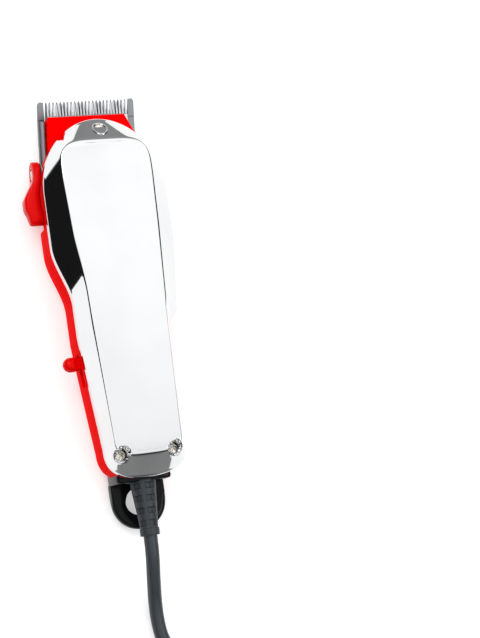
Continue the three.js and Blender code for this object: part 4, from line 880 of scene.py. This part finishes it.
nickel = metal_finish("screw_nickel", (0.58, 0.54, 0.48), (0.80, 0.77, 0.71), 0.16, 900.0,
                      (1, 1, 1), 0.01, 0.25)
for node in ("cover_screw_tail_left", "cover_screw_tail_right", "cover_screw_head"):
    low, high = (np.array(corner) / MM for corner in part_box(node))
    points = turned_screw(2.3, 1.9, 1.5, high[2] - low[2] - 1.9)
    points = points + [(low[0] + high[0]) / 2, (low[1] + high[1]) / 2, high[2] - 1.9]
    screw = make_piece(node + "_turned", [sheet(points)], nickel, sharp=30)
    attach(screw, "casing")
    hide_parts(node)
for side, node in ((-1, "blade_screw_left"), (1, "blade_screw_right")):
    points = turned_screw(2.5, 1.5, 1.3, 5.0) * [1, 1, -1] + [side * 14.0, 24.0, -2.7]
    screw = make_piece(node + "_turned", [sheet(on_blade(points))], nickel, sharp=30)
    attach(screw, "blade_slide")
    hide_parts(node)
points = turned_screw(2.4, 1.1, 1.3, 6.0)[..., [2, 0, 1]] * [-1, 1, 1] + [-29.0, PIVOT_Y, PIVOT_Z]
screw = make_piece("lever_screw_turned", [sheet(points)], nickel, sharp=30)
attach(screw, "lever")
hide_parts("lever_screw")


# ---------------------------------------------------------------- blades
# Hardened steel comb and cutter, stamped, ground flat on their meeting faces and hollow-ground
# towards the tips. A side plate stands up from the comb's left, beside the head.
def comb_outline(half, inner, teeth, tip, length, tip_share, root_share, rear):
    """Outline from the rear left corner: plain end teeth beyond the inner half width, then tapered
    teeth with rounded tips and a round gullet between each two."""
    pitch = 2 * inner / teeth
    middle = (np.arange(teeth) - (teeth - 1) / 2) * pitch
    root = tip + length
    shape = np.array([(-root_share, root), (-tip_share, tip + 0.55), (-tip_share * 0.45, tip),
                      (tip_share * 0.45, tip), (tip_share, tip + 0.55), (root_share, root)])
    shape[:, 0] *= pitch / 2
    points = np.concatenate([shape + [x, 0] for x in middle])
    ends = []
    if half > inner:
        ends = [(-half, tip + 0.9), (-half + 0.9, tip - 0.3),
                (-inner - 0.5, tip - 0.1), (-inner - 0.25, root)]
    mirror = [(-x, y) for x, y in reversed(ends)]
    return np.array([(-half, rear)] + ends + points.tolist() + mirror + [(half, rear)])


def ground_blade(name, outline_points, holes, behind, top, bottom, finish):
    """Plate cut across at the given distances behind the tips, where its two faces take the given
    heights; its edges are broken by a fine bevel."""
    blade = make_piece(name, [prism(outline_points, 0, 1)], finish)
    carve(blade, [prism(hole, -1, 2) for hole in holes])
    work = bmesh.new()
    work.from_mesh(blade.data)
    for distance in behind[1:-1]:
        bmesh.ops.bisect_plane(work, geom=work.verts[:] + work.edges[:] + work.faces[:], dist=1e-8,
                               plane_co=(0, distance * MM, 0), plane_no=(0, 1, 0))
    flat = np.array([vertex.co for vertex in work.verts]) / MM
    upper = flat[:, 2] > 0.5
    flat[:, 2] = np.where(upper, np.interp(flat[:, 1], behind, top), np.interp(flat[:, 1], behind, bottom))
    for vertex, place in zip(work.verts, on_blade(flat) * MM):
        vertex.co = place
    bmesh.ops.recalc_face_normals(work, faces=work.faces)
    work.to_mesh(blade.data)
    work.free()
    blade.data.set_sharp_from_angle(angle=radians(25))
    bevel = blade.modifiers.new("edges", "BEVEL")
    bevel.width = 0.07 * MM
    bevel.segments = 2
    bevel.limit_method = "ANGLE"
    bevel.angle_limit = radians(35)
    bevel.harden_normals = True
    return blade


comb_steel = metal_finish("comb_steel", (0.18, 0.19, 0.205), (0.27, 0.28, 0.295), 0.3, 700.0,
                          (1, 0.05, 1), 0.01, 0.3)
cutter_steel = metal_finish("cutter_steel", (0.42, 0.44, 0.46), (0.58, 0.60, 0.62), 0.26, 700.0,
                            (0.05, 1, 1), 0.01, 0.25)
screw_slot = circle(1.6, 24) + np.where(np.sin(np.arange(24) * pi / 12) > 0, 1, -1)[:, None] * [0, 1.0]
comb_blade = ground_blade(
    "comb_blade", comb_outline(23.0, 19.7, 23, 0.4, 8.5, 0.40, 0.62, 29.0),
    [screw_slot + [-14, 24], screw_slot + [14, 24]],
    [0, 1.5, 4, 7, 8.3, 8.45, 8.75, 8.9, 19.2, 19.4, 19.7, 19.9, 29],
    [-0.1, 0, 0, 0, 0, -0.3, -0.3, 0, 0, -0.3, -0.3, 0, 0],
    [-0.7, -0.9, -1.4, -2.0, -2.2, -2.2, -2.3, -2.3, -2.4, -2.4, -2.4, -2.4, -2.4], comb_steel)
rail = [lay_on_blade(prism(box_outline(-22.28, -21.72, 8.9, 27.5), -0.2, 6.8))]
rails = make_piece("comb_rails", rail, comb_steel, sharp=30)
for piece in (comb_blade, rails):
    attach(piece, "blade_slide")
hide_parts("fixed_blade")
cutter_blade = ground_blade(
    "cutter_blade", comb_outline(19.3, 19.3, 27, 1.2, 5.6, 0.36, 0.6, 16.8),
    [box_outline(-2.7, 2.7, 9.3, 14.1)],
    [1.2, 2.5, 5.0, 6.8, 7.2, 7.6, 9.5, 16.8],
    [0.75, 1.0, 1.5, 1.8, 2.45, 2.5, 2.5, 2.5],
    [0.3] * 8, cutter_steel)
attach(cutter_blade, "cutter")
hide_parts("moving_blade")


# ---------------------------------------------------------------- taper lever
# Red moulded lever on the head's left. It bows away from the casing into a finger rest whose foot
# is stepped in, and its hub takes the eccentric shaft inside and a screw outside.
def lever_rings():
    """Superellipse sections along Y. Heights are the hull of the hub's circle and the foot's, and
    the two side edges are smooth lines through a few stations."""
    y = np.concatenate([np.linspace(65.1, 63.5, 7), np.linspace(63.2, 41.9, 50), [41.7, 41.5, 41.2],
                        np.linspace(40.8, 35.9, 12), np.linspace(35.75, 35.05, 6)])
    share = np.linspace(0, 1, 81)[:, None]
    centre_y, centre_z = PIVOT_Y - 20.6 * share, PIVOT_Z + 2.2 * share
    radius = 6.2 - 2.8 * share
    reach = np.sqrt(np.clip(radius ** 2 - (y[None, :] - centre_y) ** 2, 0, None))
    inside = np.abs(y[None, :] - centre_y) < radius
    high = np.where(inside, centre_z + reach, -99).max(axis=0)
    low = np.where(inside, centre_z - reach, 99).min(axis=0)
    outer = np.interp(y, [34, 40.5, 41.3, 43, 47, 51.5, 55, 57.5, 67],
                      [33.4, 34.8, 35.3, 35.6, 35.5, 33.0, 30.6, 30.0, 29.6])
    inner = np.interp(y, [34, 41.2, 41.6, 44, 50, 54.5, 57, 67],
                      [27.0, 27.2, 27.6, 27.8, 27.6, 26.6, 26.2, 26.2])
    kernel = np.ones(5) / 5
    outer[2:-2], inner[2:-2] = np.convolve(outer, kernel, "valid"), np.convolve(inner, kernel, "valid")
    squeeze = np.minimum(1, np.sqrt(np.clip((y - 34.9) / 0.9, 0.02, 1)) * np.sqrt(
        np.clip((65.3 - y) / 1.0, 0.02, 1)))
    rings = []
    for at, x0, x1, z0, z1, ease in zip(y, outer, inner, low, high, squeeze):
        section = superellipse((x0 - x1) / 2 * (0.75 + 0.25 * ease), (z1 - z0) / 2, 4.5, 40)
        rings.append(np.column_stack([section[:, 0] - (x0 + x1) / 2, np.full(40, at),
                                      section[:, 1] + (z0 + z1) / 2]))
    return np.array(rings)


# Darker copy of the shell's red: painted shade on the lever and the switch knob, which are moulded in the
# same red as the shell.
red_with_painted_shade = gloss_plastic("lever_red_painted_shade", (0.66, 0.0006, 0.0008), (0.72, 0.0008, 0.001), 0.14, 0.0, 0.07)
lever = make_piece("thumb_lever", [rings_body(lever_rings())], red_with_painted_shade, sharp=40)
carve(lever, [prism(circle(radius, 48) + [PIVOT_Y, PIVOT_Z], x0, x1, "yzx")
              for radius, x0, x1 in ((3.2, -28.0, -20), (2.7, -50, -28.95), (1.6, -50, -20))])
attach(lever, "lever")
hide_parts("taper_lever")


# ---------------------------------------------------------------- switch knob and power screw
# Moulded slider: a flat plate behind the wall, a neck through the slot and a ball for the thumb.
# The power screw on the right is turned brass with a knurled, slotted head.
def knob_rings():
    """Sections along X: the larger of a flat neck and a ball, blended as a sixth-power mean."""
    middle = np.array(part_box("switch_slider")[0])[0] / MM + 3.3
    x = middle - 3.3 * np.cos(np.linspace(0.06, pi / 2, 14))
    x = np.concatenate([x, np.linspace(middle + 0.3, -17.0, 16)])
    ball = np.sqrt(np.clip(3.3 ** 2 - (x - middle) ** 2, 0, None))
    neck = smooth_step(x, middle - 2.4, middle - 0.4)
    wide = ((2.9 * neck) ** 6 + ball ** 6) ** (1 / 6)
    tall = ((1.95 * neck) ** 6 + ball ** 6) ** (1 / 6)
    power = 2 + 2.5 * smooth_step(x, middle + 0.5, middle + 3)
    rings = []
    for at, half_y, half_z, p in zip(x, wide, tall, power):
        section = superellipse(min(half_y, 3.3), min(half_z, 3.3), p, 40)
        rings.append(np.column_stack([np.full(40, at), section + [SWITCH_Y, SWITCH_Z]]))
    return np.array(rings)


plate_low, plate_high = (np.array(corner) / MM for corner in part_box("switch_slider"))
# The knob takes the lever's darker red, which is painted shade over the shell's red.
knob = make_piece("switch_knob", [
    rings_body(knob_rings()),
    rounded_block((-17.2, plate_high[0]), (plate_low[1], plate_high[1]), (plate_low[2], plate_high[2])),
], red_with_painted_shade, sharp=45)
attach(knob, "switch")
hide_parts("switch_slider")
points = turned_screw(3.4, 1.3, 2.0, 10.1, slots=1, knurl=0.16, dome=0.1)[..., [2, 0, 1]] + [29.1, 52, 17]
adjuster = make_piece("power_adjuster", [sheet(points)], brass_finish, sharp=30)
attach(adjuster, "power_adjuster")
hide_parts("power_screw")


# ---------------------------------------------------------------- motor, switch and leads
# Works under the cover: riveted steel laminations with a copper coil, sprung steel and nylon parts,
# a bakelite switch, brass contacts and PVC leads. These keep their frame meshes.
def striped_finish(name, first, second, axis, pitch, metallic, roughness, groove):
    """Stack of sheets or turns of wire: a sine along one axis darkens each joint and sinks it."""
    material, shader, place = new_finish(name, Metallic=metallic)
    along = place.node("SeparateXYZ", None, {0: place}, output="XYZ".index(axis))
    phase = along * (2 * pi / (pitch * MM))
    ridge = phase.math("SINE", phase, 0.0) * 0.5 + 0.5
    grime = place.noise(300.0)
    feed(shader, Base_Color=(ridge * 0.7 + grime * 0.3).mix((*first, 1), (*second, 1)),
         Roughness=roughness + grime * 0.15, Normal=relief_bump(ridge, groove))
    return material


frame_finishes = {
    "plain_steel": metal_finish("plain_steel", (0.36, 0.36, 0.37), (0.52, 0.52, 0.53), 0.34, 500.0,
                                (1, 1, 0.2), 0.01, 0.3),
    "screw_nickel": nickel,
    "nylon": gloss_plastic("nylon", (0.62, 0.60, 0.54), (0.70, 0.68, 0.62), 0.38, 0.0, 0.45),
    "lamination": striped_finish("lamination", (0.10, 0.10, 0.11), (0.34, 0.34, 0.36), "Z", 0.5,
                                 0.9, 0.4, 0.08),
    "winding": striped_finish("winding", (0.30, 0.08, 0.03), (0.72, 0.28, 0.12), "Y", 0.22,
                              0.9, 0.28, 0.06),
    "brass": brass_finish,
    "black_plastic": gloss_plastic("black_plastic", (0.010, 0.010, 0.011), (0.018, 0.018, 0.019),
                                   0.4, 0.0, 0.4),
    "cord_jacket": cord_finish,
    "wire_brown": gloss_plastic("wire_brown", (0.10, 0.032, 0.012), (0.14, 0.045, 0.018), 0.35, 0.0, 0.4),
    "wire_blue": gloss_plastic("wire_blue", (0.010, 0.06, 0.30), (0.015, 0.08, 0.38), 0.35, 0.0, 0.4),
}
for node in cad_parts.values():
    if not node.hide_render:
        node.data.materials[0] = frame_finishes[node.data.materials[0].name]
